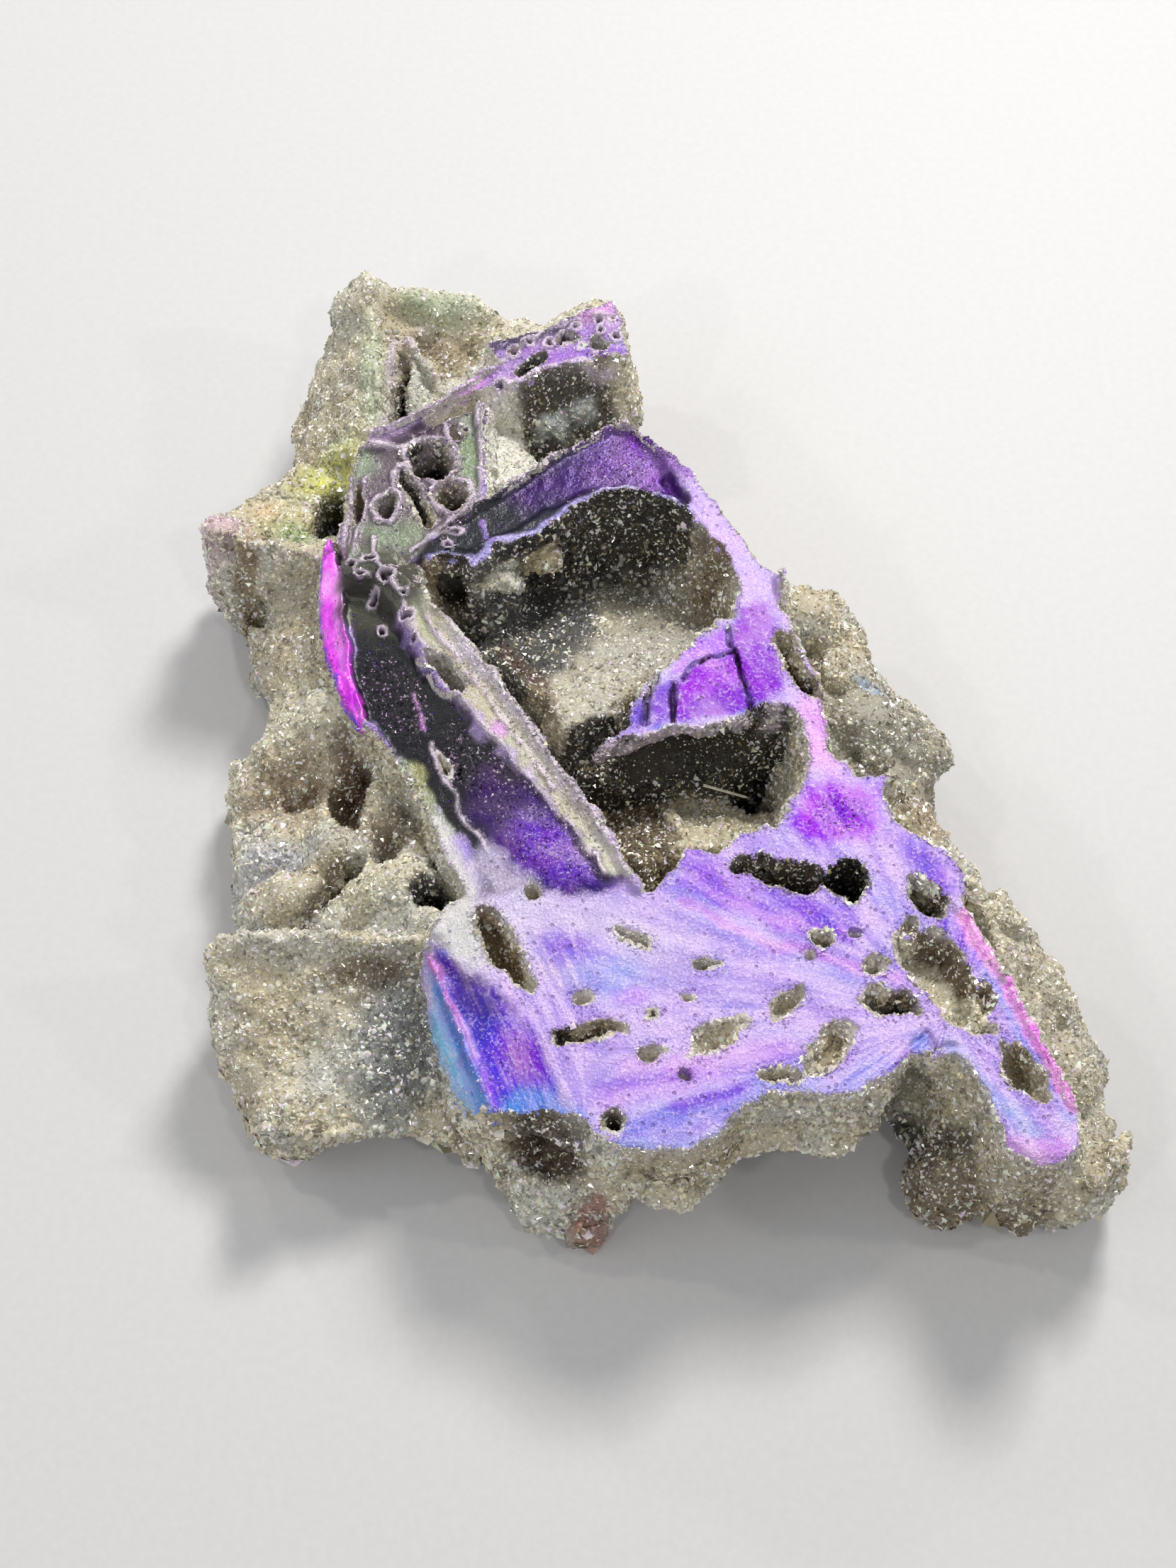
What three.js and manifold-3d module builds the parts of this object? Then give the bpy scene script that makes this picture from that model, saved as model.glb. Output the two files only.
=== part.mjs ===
// A drusy sphalerite slab: one flat-topped piece of vein rock whose level faces carry a thin violet film,
// with six-sided quartz points over its flanks. Its two large vugs are each lined by a crust of crystals.
// Millimetres, +Z up. The slab rests on its feet at z = 0, and +Y runs from the arched front edge to the far
// block. Places are given in plan, and the finished group is moved so that its origin is under its middle.
import * as THREE from "three";
import { ConvexHull } from "three/addons/math/ConvexHull.js";
import { ImprovedNoise } from "three/addons/math/ImprovedNoise.js";
import { mergeVertices } from "three/addons/utils/BufferGeometryUtils.js";
import Module from "manifold-3d";

// Driving dimensions.
const MIDDLE = [-3.4, 13.8]; // of the slab, in plan
const FACE_LEVEL = 28; // height of the level, film-covered faces
const FLANK_LEVEL = 18; // height of the plain rock round them
const BELLY_LEVEL = 3; // height of the underside between the feet
const POINT_SPACING = 2.7; // between neighbouring sites of the crystal lattice
const POINT_HEIGHT = 1.1; // a crystal point over the hollow between points
const EDGE_STEP = 2.3; // between sites along the outline
const FACE_STEP = 5.2; // between sites on a level face
const SITE_GAP = 1.35; // least distance between two sites
const JITTER = 0.5; // of a lattice's spacing, by which its sites are scattered
const CRUST_THICKNESS = 1.8; // the vug's crust of crystals
const CRUST_EDGE = 0.7; // its thickness along its edge
const CRUST_GAP = 0.35; // between the crust and the rock that it lines
const CRUST_SHARE = 0.6; // of the vug in a place that the crust covers
const FLANK_BULGE = 1.3; // how far the flank swells past the outline
const FLANK_RINGS = 4; // rows of facets down the flank
const BELLY_STEP = 4.6; // between sites of the underside
const LEAST_THICKNESS = 4; // of the rock between the top and the underside
const RIM_MARGIN = 1.25; // least distance from the rim to any other site

// Plan of the slab's rim, anticlockwise from the far left corner.
const OUTLINE = [
  [-45, 79], [-46.5, 74], [-49, 68], [-50, 62], [-50, 57], [-50.5, 52.5], [-52, 48], [-56, 44.5], [-60, 41.5],
  [-61.5, 38.5], [-59.5, 35.5], [-57, 33], [-56, 29], [-54.5, 24.5], [-51.5, 20], [-51, 15], [-53, 10],
  [-56.5, 7], [-57, 3.5], [-55.5, 0], [-54.5, -6], [-53, -12], [-52.5, -17], [-53.5, -21], [-56, -24.5],
  [-55.5, -30], [-53, -35.5], [-50.5, -40], [-48.5, -43.5], [-44, -44], [-37, -42.5], [-30, -42.5], [-25, -43.5],
  [-22, -46], [-19, -47.5], [-13, -48], [-10.5, -50], [-8, -51.5], [-5, -52.5], [-1, -52.5], [3, -52], [6, -50],
  [8.5, -47.5], [13, -45.5], [17, -45.5], [22, -46], [26, -43.5], [28.5, -41.5], [31, -42], [33, -45],
  [36, -48], [38, -50.5], [41, -52.5], [46, -53], [51, -52], [54, -48.5], [54.5, -42], [53.5, -36],
  [52, -31], [50, -27], [47, -24], [44, -21], [41.5, -17], [39.5, -14.5], [39.5, -11], [37, -8], [34, -4],
  [33.5, 0], [35.5, 5], [37, 10], [35.5, 14], [31.5, 16.5], [28.5, 20], [26.5, 22.5], [27, 26.5], [24, 30.5],
  [19.5, 32.5], [15, 32.5], [13, 34.5], [10.5, 38.5], [7.5, 43], [4.5, 47], [1, 50.5], [-3, 52.8], [-4, 57],
  [-3.6, 63], [-3.8, 68], [-5, 73], [-8, 76], [-12, 75], [-16, 72.5], [-20, 73.3], [-25, 75.3], [-31, 77],
  [-36, 78.3], [-40, 80.5], [-43, 80.5],
];

// Regions of the top, in the order in which they overlay each other. Each is a plane through at = [x, y, z]
// that rises by slope = [along x, along y] a millimetre, and meets its neighbours over twice soft. film marks
// a level face, and vug a floor that a crust covers. The rest carries crystal points.
const REGIONS = {
  far_block: { at: [-30, 68, 23.5], slope: [0.05, 0.02], soft: 1.5,
    outline: [[-52, 49], [-52, 82], [-2, 82], [-2, 62], [-20, 55], [-42, 47]] },
  far_block_slope: { at: [-45, 62, 21], slope: [0.95, 0.05], soft: 1.2,
    outline: [[-53, 48], [-53, 82], [-42, 84], [-39, 73], [-38.5, 62], [-39.5, 52], [-43, 47]] },
  left_ledge: { at: [-53, 40, 21.5], slope: [-0.05, -0.22], soft: 1.2,
    outline: [[-64, 39], [-57, 47], [-50, 52], [-43, 50], [-42, 40], [-44, 32.5], [-52, 32], [-60, 34]] },
  left_flank_back: { at: [-48, 20, 16.5], slope: [0.7, 0.05], soft: 1.2,
    outline: [[-60, 32.5], [-46, 31], [-44, 26], [-41, 10], [-38, 5], [-48, 7], [-58, 9], [-58, 20]] },
  left_flank: { at: [-46, -5, 15.5], slope: [0.5, 0.02], soft: 2.5,
    outline: [[-60, 9], [-40, 8], [-36, 1], [-28, -14], [-26, -21], [-30, -22], [-54, -20], [-60, -14]] },
  block_slope: { at: [-46, -31, 17.5], slope: [0.12, 0.52], soft: 1.2,
    outline: [[-60, -21], [-45, -22], [-30, -22.5], [-28, -26], [-34, -34], [-36, -44], [-52, -44],
      [-60, -30]] },
  block_hollow_slope: { at: [-31, -34, 16.5], slope: [-0.25, 0.42], soft: 1.5,
    outline: [[-37, -26], [-29, -25.5], [-27, -31], [-24, -39], [-22, -48], [-37, -44], [-38, -34]] },
  right_flank: { at: [46, -31, 19.5], slope: [-0.85, 0.1], soft: 1.3,
    outline: [[34, -12], [37, -20], [41, -30], [45, -38], [49, -47], [47, -55], [55, -45], [56, -26],
      [44, -12]] },
  right_flank_back: { at: [33, -5, 20], slope: [-0.6, -0.1], soft: 1.5,
    outline: [[27, -2], [29, -7], [34, -13], [40, -18], [44, -10], [36, 0], [30, 1]] },
  right_shoulder: { at: [27, 8, 17], slope: [-0.3, 0.1], soft: 1.5,
    outline: [[22, -2], [30, -3], [40, 3], [38, 16], [28, 21], [22, 22], [20, 12]] },
  main_face: { at: [0, -35, FACE_LEVEL - 0.5], slope: [0.004, 0.012], soft: 0.7, film: true,
    outline: [[-25, -18], [-28.5, -22], [-29, -25], [-24.5, -28], [-20, -32], [-15, -38], [-12, -43],
      [-10, -47], [-8, -50.5], [-5, -52], [-1, -51.5], [2, -52.5], [5.5, -50], [8, -47], [12, -45],
      [17, -45], [22, -45.3], [26.5, -42], [28.5, -40], [31, -40.5], [33, -40], [36, -43.5],
      [39, -47.5], [39.5, -52], [44, -53], [47.5, -50.5], [48, -46.5], [45, -40], [42.5, -34],
      [40.5, -29.5], [38.5, -25], [36, -20.5], [36.5, -16], [33, -12], [29, -8.5], [27.5, -6], [30, -2],
      [24, -2.5], [21.5, 0], [20.5, 6], [20.5, 12], [17.5, 18], [16, 22], [17, 26], [13, 29.5], [9, 37],
      [4, 44], [-1.5, 50], [-5, 51.5], [-8, 50.5], [-13, 47.5], [-18, 42.5], [-24, 37.5], [-29, 34.5],
      [-34, 31], [-29, 30], [-24, 32], [-20, 33.5], [-16, 36], [-12, 38.7], [-7, 40.3], [-3, 40.3],
      [1, 39], [4, 36], [7.5, 30], [10, 24], [9.5, 21], [5, 17.5], [0, 13], [-3, 9.5], [-6, 4],
      [-9, 1.8], [-3, 2.3], [3, 3.3], [8, 4], [11, 5.3], [13.5, 7], [15.5, 7], [17, 4], [18, 0],
      [17, -4], [15, -7], [14, -9.5], [10, -10.5], [6, -13], [2, -12], [0, -16], [-2, -19], [-5, -14],
      [-9, -9], [-14, -3], [-19, 3], [-24, 9], [-30, 14.5], [-34, 21], [-39, 26], [-42, 29],
      [-41.5, 20], [-40, 12], [-38, 6], [-34, 1], [-30, -7], [-27.5, -13]] },
  boxwork: { at: [-33, 42, FACE_LEVEL - 1.5], slope: [0.02, 0.02], soft: 0.7, film: true,
    outline: [[-41, 49], [-42.5, 42], [-43, 34], [-42, 29], [-38, 27], [-33, 29], [-28, 35],
      [-22.5, 40], [-22.5, 56.5], [-28, 54], [-33, 51]] },
  far_band: { at: [-20, 61, FACE_LEVEL - 0.3], slope: [0.02, 0.0], soft: 0.7, film: true,
    outline: [[-39, 50.5], [-33, 54], [-27, 58.5], [-22, 62], [-24, 66], [-15, 69], [-10, 71],
      [-6, 73.5], [-4, 70], [-4, 63], [-9, 62.8], [-14, 61], [-19, 57.5], [-24, 57.5], [-29, 54.5],
      [-34, 50], [-39.5, 48]] },
  pocket_slope: { at: [-20, 49, 22], slope: [-0.5, -0.3], soft: 0.9,
    outline: [[-22.5, 56], [-22.5, 41.5], [-15.5, 46.5], [-16.5, 50], [-19.5, 56.5]] },
  far_pocket: { at: [-11, 55, 17], slope: [0.15, 0.2], soft: 1.1,
    outline: [[-18, 56], [-13, 59.8], [-9, 61.5], [-5.6, 61.6], [-5.4, 54], [-8, 51.8], [-12.5, 49.5],
      [-16, 48.5]] },
  far_hollow: { at: [-29, 65, 20.5], slope: [0.1, 0.25], soft: 1.3,
    outline: [[-34.5, 70], [-29, 71.5], [-24, 69.5], [-25.5, 64], [-28.5, 60], [-31, 58.5], [-33, 63]] },
  wedge_hollow: { at: [-35, 60, 21], slope: [0.3, 0.15], soft: 0.9,
    outline: [[-37, 67.5], [-35.5, 67], [-32.5, 61.5], [-31, 57.5], [-34, 55.5], [-37, 53.5],
      [-37.8, 60]] },
  dark_bar: { at: [-25, 0, FACE_LEVEL - 2], slope: [0.11, 0.06], soft: 0.8, film: true,
    outline: [[-41, 26], [-38, 25.5], [-33, 18], [-30, 12], [-25, 7], [-20, 1], [-15, -5], [-10, -11],
      [-6, -17], [-11, -18.5], [-18, -18], [-24, -19], [-26.5, -15], [-29.5, -8], [-33.5, 0], [-37, 6],
      [-39, 12], [-40.5, 20]] },
  violet_bar: { at: [-14, 41, FACE_LEVEL - 1.2], slope: [0.02, -0.09], soft: 0.8, film: true,
    outline: [[-31, 32.5], [-24, 36.5], [-18, 41.5], [-12, 46.5], [-7, 49.7], [-3.5, 50], [0, 46],
      [1.5, 40.5], [-3, 41.5], [-8, 41.5], [-13, 39.5], [-17, 36.5], [-21, 34.5], [-25, 32.5]] },
  blade: { at: [-42.6, 20, 24.5], slope: [1.15, 0.12], soft: 0.5, film: true,
    outline: [[-44.5, 31], [-43, 33], [-42, 28], [-41, 20], [-40, 13], [-38.3, 6], [-40, 7.5],
      [-42, 12], [-44.2, 18], [-45, 25]] },
  fan_outer: { at: [-26, -37, 21.5], slope: [1.0, 0.38], soft: 0.5, film: true,
    outline: [[-29.3, -25.5], [-27, -31], [-24.5, -38], [-21.5, -44], [-21, -47], [-23.5, -46],
      [-26, -42], [-28.5, -35], [-30, -29]] },
  fan_inner: { at: [-19.5, -39, 23.8], slope: [0.3, -0.05], soft: 0.6, film: true,
    outline: [[-28.5, -26], [-24, -28.5], [-19.5, -33], [-15, -38.5], [-11.5, -44], [-10.5, -47.5],
      [-15, -46.5], [-19, -46.5], [-21, -47.5], [-21.8, -43], [-24.5, -37], [-27, -31]] },
  bowl: { at: [-6, 26, 15], slope: [0.08, -0.42], soft: 3, vug: true,
    outline: [[-24, 23], [-21, 28.5], [-17.5, 31.5], [-14, 34], [-10, 36], [-6, 37], [-2, 36.5],
      [1.5, 34.5], [5, 29], [7, 25], [6.5, 21.5], [3, 18.5], [-2, 14], [-6, 8], [-10, 5], [-14, 6],
      [-17, 10], [-20.5, 16]] },
  lower_pit: { at: [3, -3, 13.5], slope: [0.0, -0.8], soft: 1.2, vug: true,
    outline: [[-13, 1.5], [-9, 0], [-4, 0.6], [2, 1.6], [8, 2.5], [11, 3.8], [13.5, 5.3], [15, 3],
      [16.3, 0], [15.4, -3.5], [13.5, -6.5], [11.5, -8.3], [6, -10.8], [1.5, -10.5], [-0.6, -13.5],
      [-2.5, -16], [-5, -11.5], [-9, -6]] },
  trench: { at: [-16, 9, 10.5], slope: [0, 0], soft: 1.1, vug: true,
    outline: [[-24, 21], [-20, 18], [-15.5, 10], [-13, 4], [-9.5, -1.5], [-12, -2.5], [-16, 4],
      [-21, 12]] },
};

// Oval hollows: centre, half length and half width, turn of the length from +X in degrees, and depth.
const HOLLOWS = {
  black_cell: { at: [-31.3, 46.5], half: [3.2, 2.4], turn: 12, depth: 14 },
  round_cell: { at: [-28, 41], half: [2.5, 2.3], turn: 20, depth: 8 },
  long_cell: { at: [-33.8, 42.3], half: [3.3, 1.3], turn: -60, depth: 6 },
  left_cell: { at: [-37.3, 38.8], half: [2.2, 1.5], turn: 70, depth: 7 },
  low_cell: { at: [-32.3, 36.8], half: [3.2, 1.6], turn: 75, depth: 5 },
  slit_cell: { at: [-40.3, 40.3], half: [2.8, 0.8], turn: 84, depth: 6 },
  corner_cell: { at: [-27.8, 50.3], half: [2.6, 1.3], turn: -55, depth: 5 },
  band_slot: { at: [-17.5, 62.2], half: [3.3, 0.95], turn: 38, depth: 7 },
  band_bubble_0: { at: [-19.7, 64.3], half: [1.5, 0.8], turn: 45, depth: 4 },
  band_bubble_1: { at: [-12.5, 66.5], half: [2.0, 1.0], turn: 15, depth: 4 },
  band_bubble_2: { at: [-8.2, 65.4], half: [1.4, 1.2], turn: 0, depth: 4 },
  wedge_slit: { at: [-36.2, 57.3], half: [4.0, 1.0], turn: 84, depth: 9 },
  side_hole: { at: [-44.2, 38.2], half: [4.0, 1.9], turn: 78, depth: 10 },
  crest_slot: { at: [-27.6, 12], half: [4.2, 1.2], turn: -50, depth: 6 },
  bank_hollow: { at: [-27, 26.5], half: [3.4, 2.2], turn: -15, depth: 9 },
  net_cell_0: { at: [-39.6, 27.3], half: [1.3, 1.0], turn: 0, depth: 3 },
  net_cell_1: { at: [-36.6, 26.2], half: [1.3, 1.1], turn: 30, depth: 3 },
  bar_slot: { at: [-27, -1.7], half: [3.2, 0.9], turn: -68, depth: 4 },
  long_pit: { at: [-20, -25.8], half: [5.9, 1.8], turn: -60, depth: 7 },
  small_pit_0: { at: [-16.2, -18.7], half: [1.3, 1.1], turn: 0, depth: 3 },
  seam_pit: { at: [-9, -36.7], half: [4.6, 1.3], turn: 14, depth: 6 },
  slit_pit_0: { at: [-3.9, -24.8], half: [2.6, 0.9], turn: -25, depth: 3 },
  slit_pit_1: { at: [5, -28], half: [1.9, 0.8], turn: -5, depth: 2.5 },
  oval_pit_0: { at: [5.8, -37.2], half: [4.3, 1.8], turn: 28, depth: 4 },
  oval_pit_1: { at: [14.2, -33.2], half: [2.7, 1.6], turn: 35, depth: 4 },
  round_pit_0: { at: [18.3, -25], half: [1.7, 1.2], turn: 10, depth: 3 },
  round_pit_1: { at: [24.8, -28.8], half: [1.5, 1.4], turn: 0, depth: 2.5 },
  notch_pit: { at: [26.3, -33.4], half: [3.5, 1.5], turn: -12, depth: 6 },
  forked_pit: { at: [19, -38.5], half: [4.2, 2.3], turn: 50, depth: 5 },
  front_pit: { at: [-6.7, -48], half: [1.7, 1.3], turn: 60, depth: 6 },
  rim_pit: { at: [12.7, -42.3], half: [2.2, 1.2], turn: -10, depth: 3 },
  dark_slot: { at: [14.5, -16.4], half: [6.2, 1.7], turn: -10, depth: 10 },
  dark_hole: { at: [22.2, -17.2], half: [2.9, 2.6], turn: 60, depth: 17 },
  round_vug: { at: [31.5, -19.6], half: [2.9, 2.0], turn: -55, depth: 8 },
  long_vug: { at: [33, -29.4], half: [7.8, 3.9], turn: -55, depth: 8.5 },
  spur_vug: { at: [41.2, -41.6], half: [4.8, 2.0], turn: -58, depth: 6 },
  rim_slot: { at: [17.1, 13.4], half: [5.4, 1.4], turn: -66, depth: 7 },
  floor_hole: { at: [11.2, -5.6], half: [2.2, 0.9], turn: -20, depth: 3 },
  shelf_cut: { at: [14.0, 5.2], half: [2.4, 1.3], turn: 40, depth: 9 },
  flank_hollow_0: { at: [-40, -1], half: [6.0, 2.6], turn: 80, depth: 5.5 },
  flank_hollow_1: { at: [-47, 0.5], half: [3.4, 2.4], turn: 20, depth: 3.5 },
  flank_hollow_2: { at: [-34.5, -8.5], half: [2.8, 2.2], turn: 60, depth: 4 },
  flank_hollow_3: { at: [-41, -12.5], half: [4.6, 1.6], turn: 55, depth: 4.5 },
  flank_hole: { at: [-29.2, -17.6], half: [2.4, 1.6], turn: -35, depth: 8 },
  ledge_groove: { at: [-55.5, 31], half: [4.8, 1.6], turn: -55, depth: 4 },
};

// Rounded lumps: centre, half length, half width, turn, height over the ground.
const LUMPS = {
  far_corner: { at: [-42.5, 77], half: [4.5, 4], turn: 0, height: 3.2 },
  far_edge: { at: [-30, 75], half: [9, 2.6], turn: -10, height: 2.5 },
  far_tip: { at: [-8, 73], half: [4.5, 3.2], turn: 20, height: 1.2 },
  spine: { at: [-38.4, 61], half: [11.5, 1.3], turn: 88, height: 2.6 },
  spine_branch: { at: [-33.5, 64.5], half: [7.5, 1.2], turn: -58, height: 2.8 },
  ledge_rim: { at: [-52.5, 34.2], half: [9.5, 2.0], turn: -8, height: 2.6 },
  ledge_tip: { at: [-59, 38], half: [3.4, 3.0], turn: 0, height: 2.0 },
  flank_lump_0: { at: [-47, 9], half: [7.5, 5.0], turn: 25, height: 4.6 },
  flank_lump_1: { at: [-54, 4.5], half: [4.2, 4.0], turn: 0, height: 2.6 },
  flank_lump_2: { at: [-51, -5.5], half: [4.6, 3.6], turn: 30, height: 3.0 },
  flank_lump_3: { at: [-43.5, -7], half: [3.6, 4.6], turn: 0, height: 3.2 },
  flank_lump_4: { at: [-48, -13.5], half: [5.2, 3.6], turn: 20, height: 3.6 },
  flank_lump_5: { at: [-35, -15], half: [5.0, 3.4], turn: 10, height: 2.8 },
  block_ridge: { at: [-42, -22.5], half: [15, 2.4], turn: 1, height: 2.2 },
  knob: { at: [19.8, 25], half: [5.2, 4.4], turn: -20, height: 4.8 },
  shoulder_lump: { at: [28.5, 9.5], half: [6.6, 5.2], turn: -15, height: 4.4 },
  shoulder_toe: { at: [31.5, 1.5], half: [3.4, 3.6], turn: 0, height: 2.2 },
  shoulder_back: { at: [24.5, 17], half: [3.6, 3.4], turn: -30, height: 2.0 },
  flank_right_0: { at: [44, -20], half: [3.6, 3.0], turn: 0, height: 2.4 },
  flank_right_1: { at: [49, -28], half: [3.2, 4.6], turn: 0, height: 2.2 },
  flank_right_2: { at: [50.5, -38], half: [2.6, 4.2], turn: 0, height: 2.0 },
  pit_bank: { at: [3.5, -7.5], half: [5.5, 3.2], turn: -5, height: 3.0 },
  bowl_boss: { at: [-18.5, 30.5], half: [2.6, 1.5], turn: 20, height: 4.5 },
};

// Sharp crests: the line of the crest, its half width at either end, height over the ground.
const CRESTS = {
  long_crest: { line: [[-40, 29.5], [-35, 25.5], [-30.5, 20], [-26, 13.5], [-21, 7.5], [-16.5, 1],
      [-12, -5.5], [-8, -11.5], [-3.5, -18.5]], half: [2.8, 1.2], height: 1.6 },
  boxwork_wall: { line: [[-24, 57], [-24, 50], [-23, 41.5]], half: [1.0, 1.0], height: 1.0 },
  band_edge: { line: [[-39.5, 49.5], [-33, 53.5], [-27, 58], [-22, 61.5]], half: [0.9, 0.9], height: 0.9 },
  bowl_rim: { line: [[-24.5, 31], [-20, 33.3], [-15, 36.8], [-10, 39.6], [-5, 40.6], [0, 39.8]],
    half: [0.9, 0.9], height: 0.8 },
  fan_crest: { line: [[-29, -25.5], [-26.5, -31.5], [-24, -38], [-21.3, -45]], half: [1.1, 1.1], height: 1.0 },
  spur_edge: { line: [[34.5, -20], [38.5, -27], [42.5, -36], [46.5, -45.5]], half: [1.0, 1.0], height: 0.9 },
};

// Feet: where the underside comes down to the ground.
const FEET = {
  front_foot: { at: [-13, -42], half: [8, 8.5], turn: -10 },
  right_foot: { at: [43, -41], half: [12, 10], turn: 5 },
  left_foot: { at: [-47, -33], half: [7, 9], turn: 10 },
  flank_foot: { at: [-48, 4], half: [9, 10], turn: 0 },
  far_foot: { at: [-38, 62], half: [14, 15], turn: 0 },
  tip_foot: { at: [-10, 66], half: [8, 9], turn: 0 },
  shoulder_foot: { at: [26, 10], half: [10, 12], turn: 0 },
};

// Arches: where the underside rises between the feet.
const ARCHES = {
  front_arch: { at: [13, -48], half: [20, 19], turn: 0, rise: 13 },
  left_arch: { at: [-31, -46], half: [14, 13], turn: 0, rise: 5 },
};

// Shafts that run right through the slab: centre, radius at the top and at the bottom.
const SHAFTS = {
  black_cell_shaft: { at: [-31.3, 46.5], top: 1.9, bottom: 3.2 },
  side_hole_shaft: { at: [-44.2, 38.4], top: 1.5, bottom: 3.0 },
  dark_hole_shaft: { at: [22.2, -17.2], top: 2.2, bottom: 3.6 },
  floor_hole_shaft: { at: [11.2, -5.6], top: 1.4, bottom: 2.2 },
  flank_hole_shaft: { at: [-29.2, -17.6], top: 1.3, bottom: 2.6 },
};

const SHAFT_LENGTH = 40;

// Knobs that stand out of the flank and feet: centre, half sizes and turn.
const KNOBS = {
  front_foot_knob: { at: [-13, -49.3, 7.5], half: [6.3, 4.6, 9.3], turn: -8 },
  front_toe: { at: [-8.3, -51.5, 4], half: [3.0, 3.6, 5.2], turn: 0 },
  front_heel: { at: [-16.5, -45, 5], half: [4, 4, 6], turn: 0 },
  spur_toe: { at: [38, -48.5, 7], half: [5, 4.5, 8], turn: 30 },
  corner_toe: { at: [49, -48, 8], half: [6.5, 6, 9], turn: 0 },
  block_corner: { at: [-46.5, -40.5, 8], half: [5, 4.5, 7], turn: 20 },
};

// Cavities that reach in under a ledge: centre, half sizes and turn.
const CAVES = {
  shelf_cave: { at: [3, 3.2, 18.5], half: [10.5, 4.2, 4.2], turn: 8 },
  crest_cave: { at: [-12.5, -3.5, 18], half: [7, 3, 4], turn: -55 },
  spur_cave: { at: [34.5, -48.5, 18], half: [3.2, 3.4, 3.2], turn: 0 },
  front_cave: { at: [-14.5, -49, 15], half: [3, 4.5, 3.5], turn: 0 },
};

const noise3 = new ImprovedNoise();
const rad = THREE.MathUtils.degToRad;
const { lerp, smoothstep } = THREE.MathUtils;

// Smooth noise of about one millimetre either way, with features of the given size.
const noise = (x, y, size, layer = 0) => noise3.noise(x / size, y / size, 7.3 + 11.7 * layer);

// A repeatable number from 0 to 1 for a place.
function scatter(x, y, layer = 0) {
  const s = Math.sin(x * 127.1 + y * 311.7 + layer * 74.7) * 43758.5453;
  return s - Math.floor(s);
}

// Distance from (x, y) to a closed line of points, negative inside it.
function distanceTo(line, x, y) {
  let nearest = Infinity;
  let inside = false;
  for (let i = 0, j = line.length - 1; i < line.length; j = i++) {
    const [ax, ay] = line[j];
    const [bx, by] = line[i];
    const ex = bx - ax;
    const ey = by - ay;
    const t = THREE.MathUtils.clamp(((x - ax) * ex + (y - ay) * ey) / (ex * ex + ey * ey), 0, 1);
    nearest = Math.min(nearest, Math.hypot(x - ax - t * ex, y - ay - t * ey));
    if (ay > y !== by > y && x < ((bx - ax) * (y - ay)) / (by - ay) + ax) inside = !inside;
  }
  return inside ? -nearest : nearest;
}

// How far (x, y) is from an open line, and how far along it, from 0 to 1.
function alongLine(line, x, y) {
  let best = { distance: Infinity, along: 0 };
  for (let i = 0; i + 1 < line.length; i++) {
    const [ax, ay] = line[i];
    const ex = line[i + 1][0] - ax;
    const ey = line[i + 1][1] - ay;
    const t = THREE.MathUtils.clamp(((x - ax) * ex + (y - ay) * ey) / (ex * ex + ey * ey), 0, 1);
    const distance = Math.hypot(x - ax - t * ex, y - ay - t * ey);
    if (distance < best.distance) best = { distance, along: (i + t) / (line.length - 1) };
  }
  return best;
}

// Radius of (x, y) in an oval's own units: 0 at its centre, 1 on its edge.
function ovalRadius({ at, half, turn }, x, y) {
  const c = Math.cos(rad(turn));
  const s = Math.sin(rad(turn));
  const u = (x - at[0]) * c + (y - at[1]) * s;
  const v = (y - at[1]) * c - (x - at[0]) * s;
  return Math.hypot(u / half[0], v / half[1]);
}

// What the top is at (x, y): its height, whether film covers it, and whether it lies in the vug.
function topAt(x, y) {
  let z = FLANK_LEVEL;
  let film = 0;
  let vug = 0;
  for (const region of Object.values(REGIONS)) {
    const d = distanceTo(region.outline, x, y);
    if (d >= region.soft) continue;
    const share = 1 - smoothstep(d, -region.soft, region.soft);
    const [ax, ay, az] = region.at;
    z = lerp(z, az + region.slope[0] * (x - ax) + region.slope[1] * (y - ay), share);
    film = lerp(film, region.film ? 1 : 0, share);
    vug = lerp(vug, region.vug ? 1 : 0, share);
  }
  for (const crest of Object.values(CRESTS)) {
    const { distance, along } = alongLine(crest.line, x, y);
    const half = lerp(crest.half[0], crest.half[1], along);
    z += crest.height * Math.max(0, 1 - distance / half);
  }
  for (const lump of Object.values(LUMPS)) {
    const r = ovalRadius(lump, x, y);
    if (r < 1) z += lump.height * (1 - r * r) ** 0.7;
  }
  for (const hollow of Object.values(HOLLOWS)) {
    const r = ovalRadius(hollow, x, y);
    if (r < 1.12) {
      z -= hollow.depth * (1 - smoothstep(r, 0.45, 1.12));
      film *= smoothstep(r, 0.9, 1.12);
      vug *= smoothstep(r, 0.9, 1.12);
    }
  }
  z += (1 - film) * 1.1 * noise(x, y, 7) + 0.25 * noise(x, y, 13, 1);
  return { z, film, vug };
}

// Height of the underside, before it is cut off level at the ground.
function bellyAt(x, y) {
  let z = BELLY_LEVEL + 2.5 * noise(x, y, 14, 3) + noise(x, y, 6, 4);
  for (const arch of Object.values(ARCHES))
    z += arch.rise * (1 - smoothstep(ovalRadius(arch, x, y), 0.5, 1));
  for (const foot of Object.values(FEET)) z = lerp(-1.5, z, smoothstep(ovalRadius(foot, x, y), 0.35, 1.15));
  return z;
}

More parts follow.
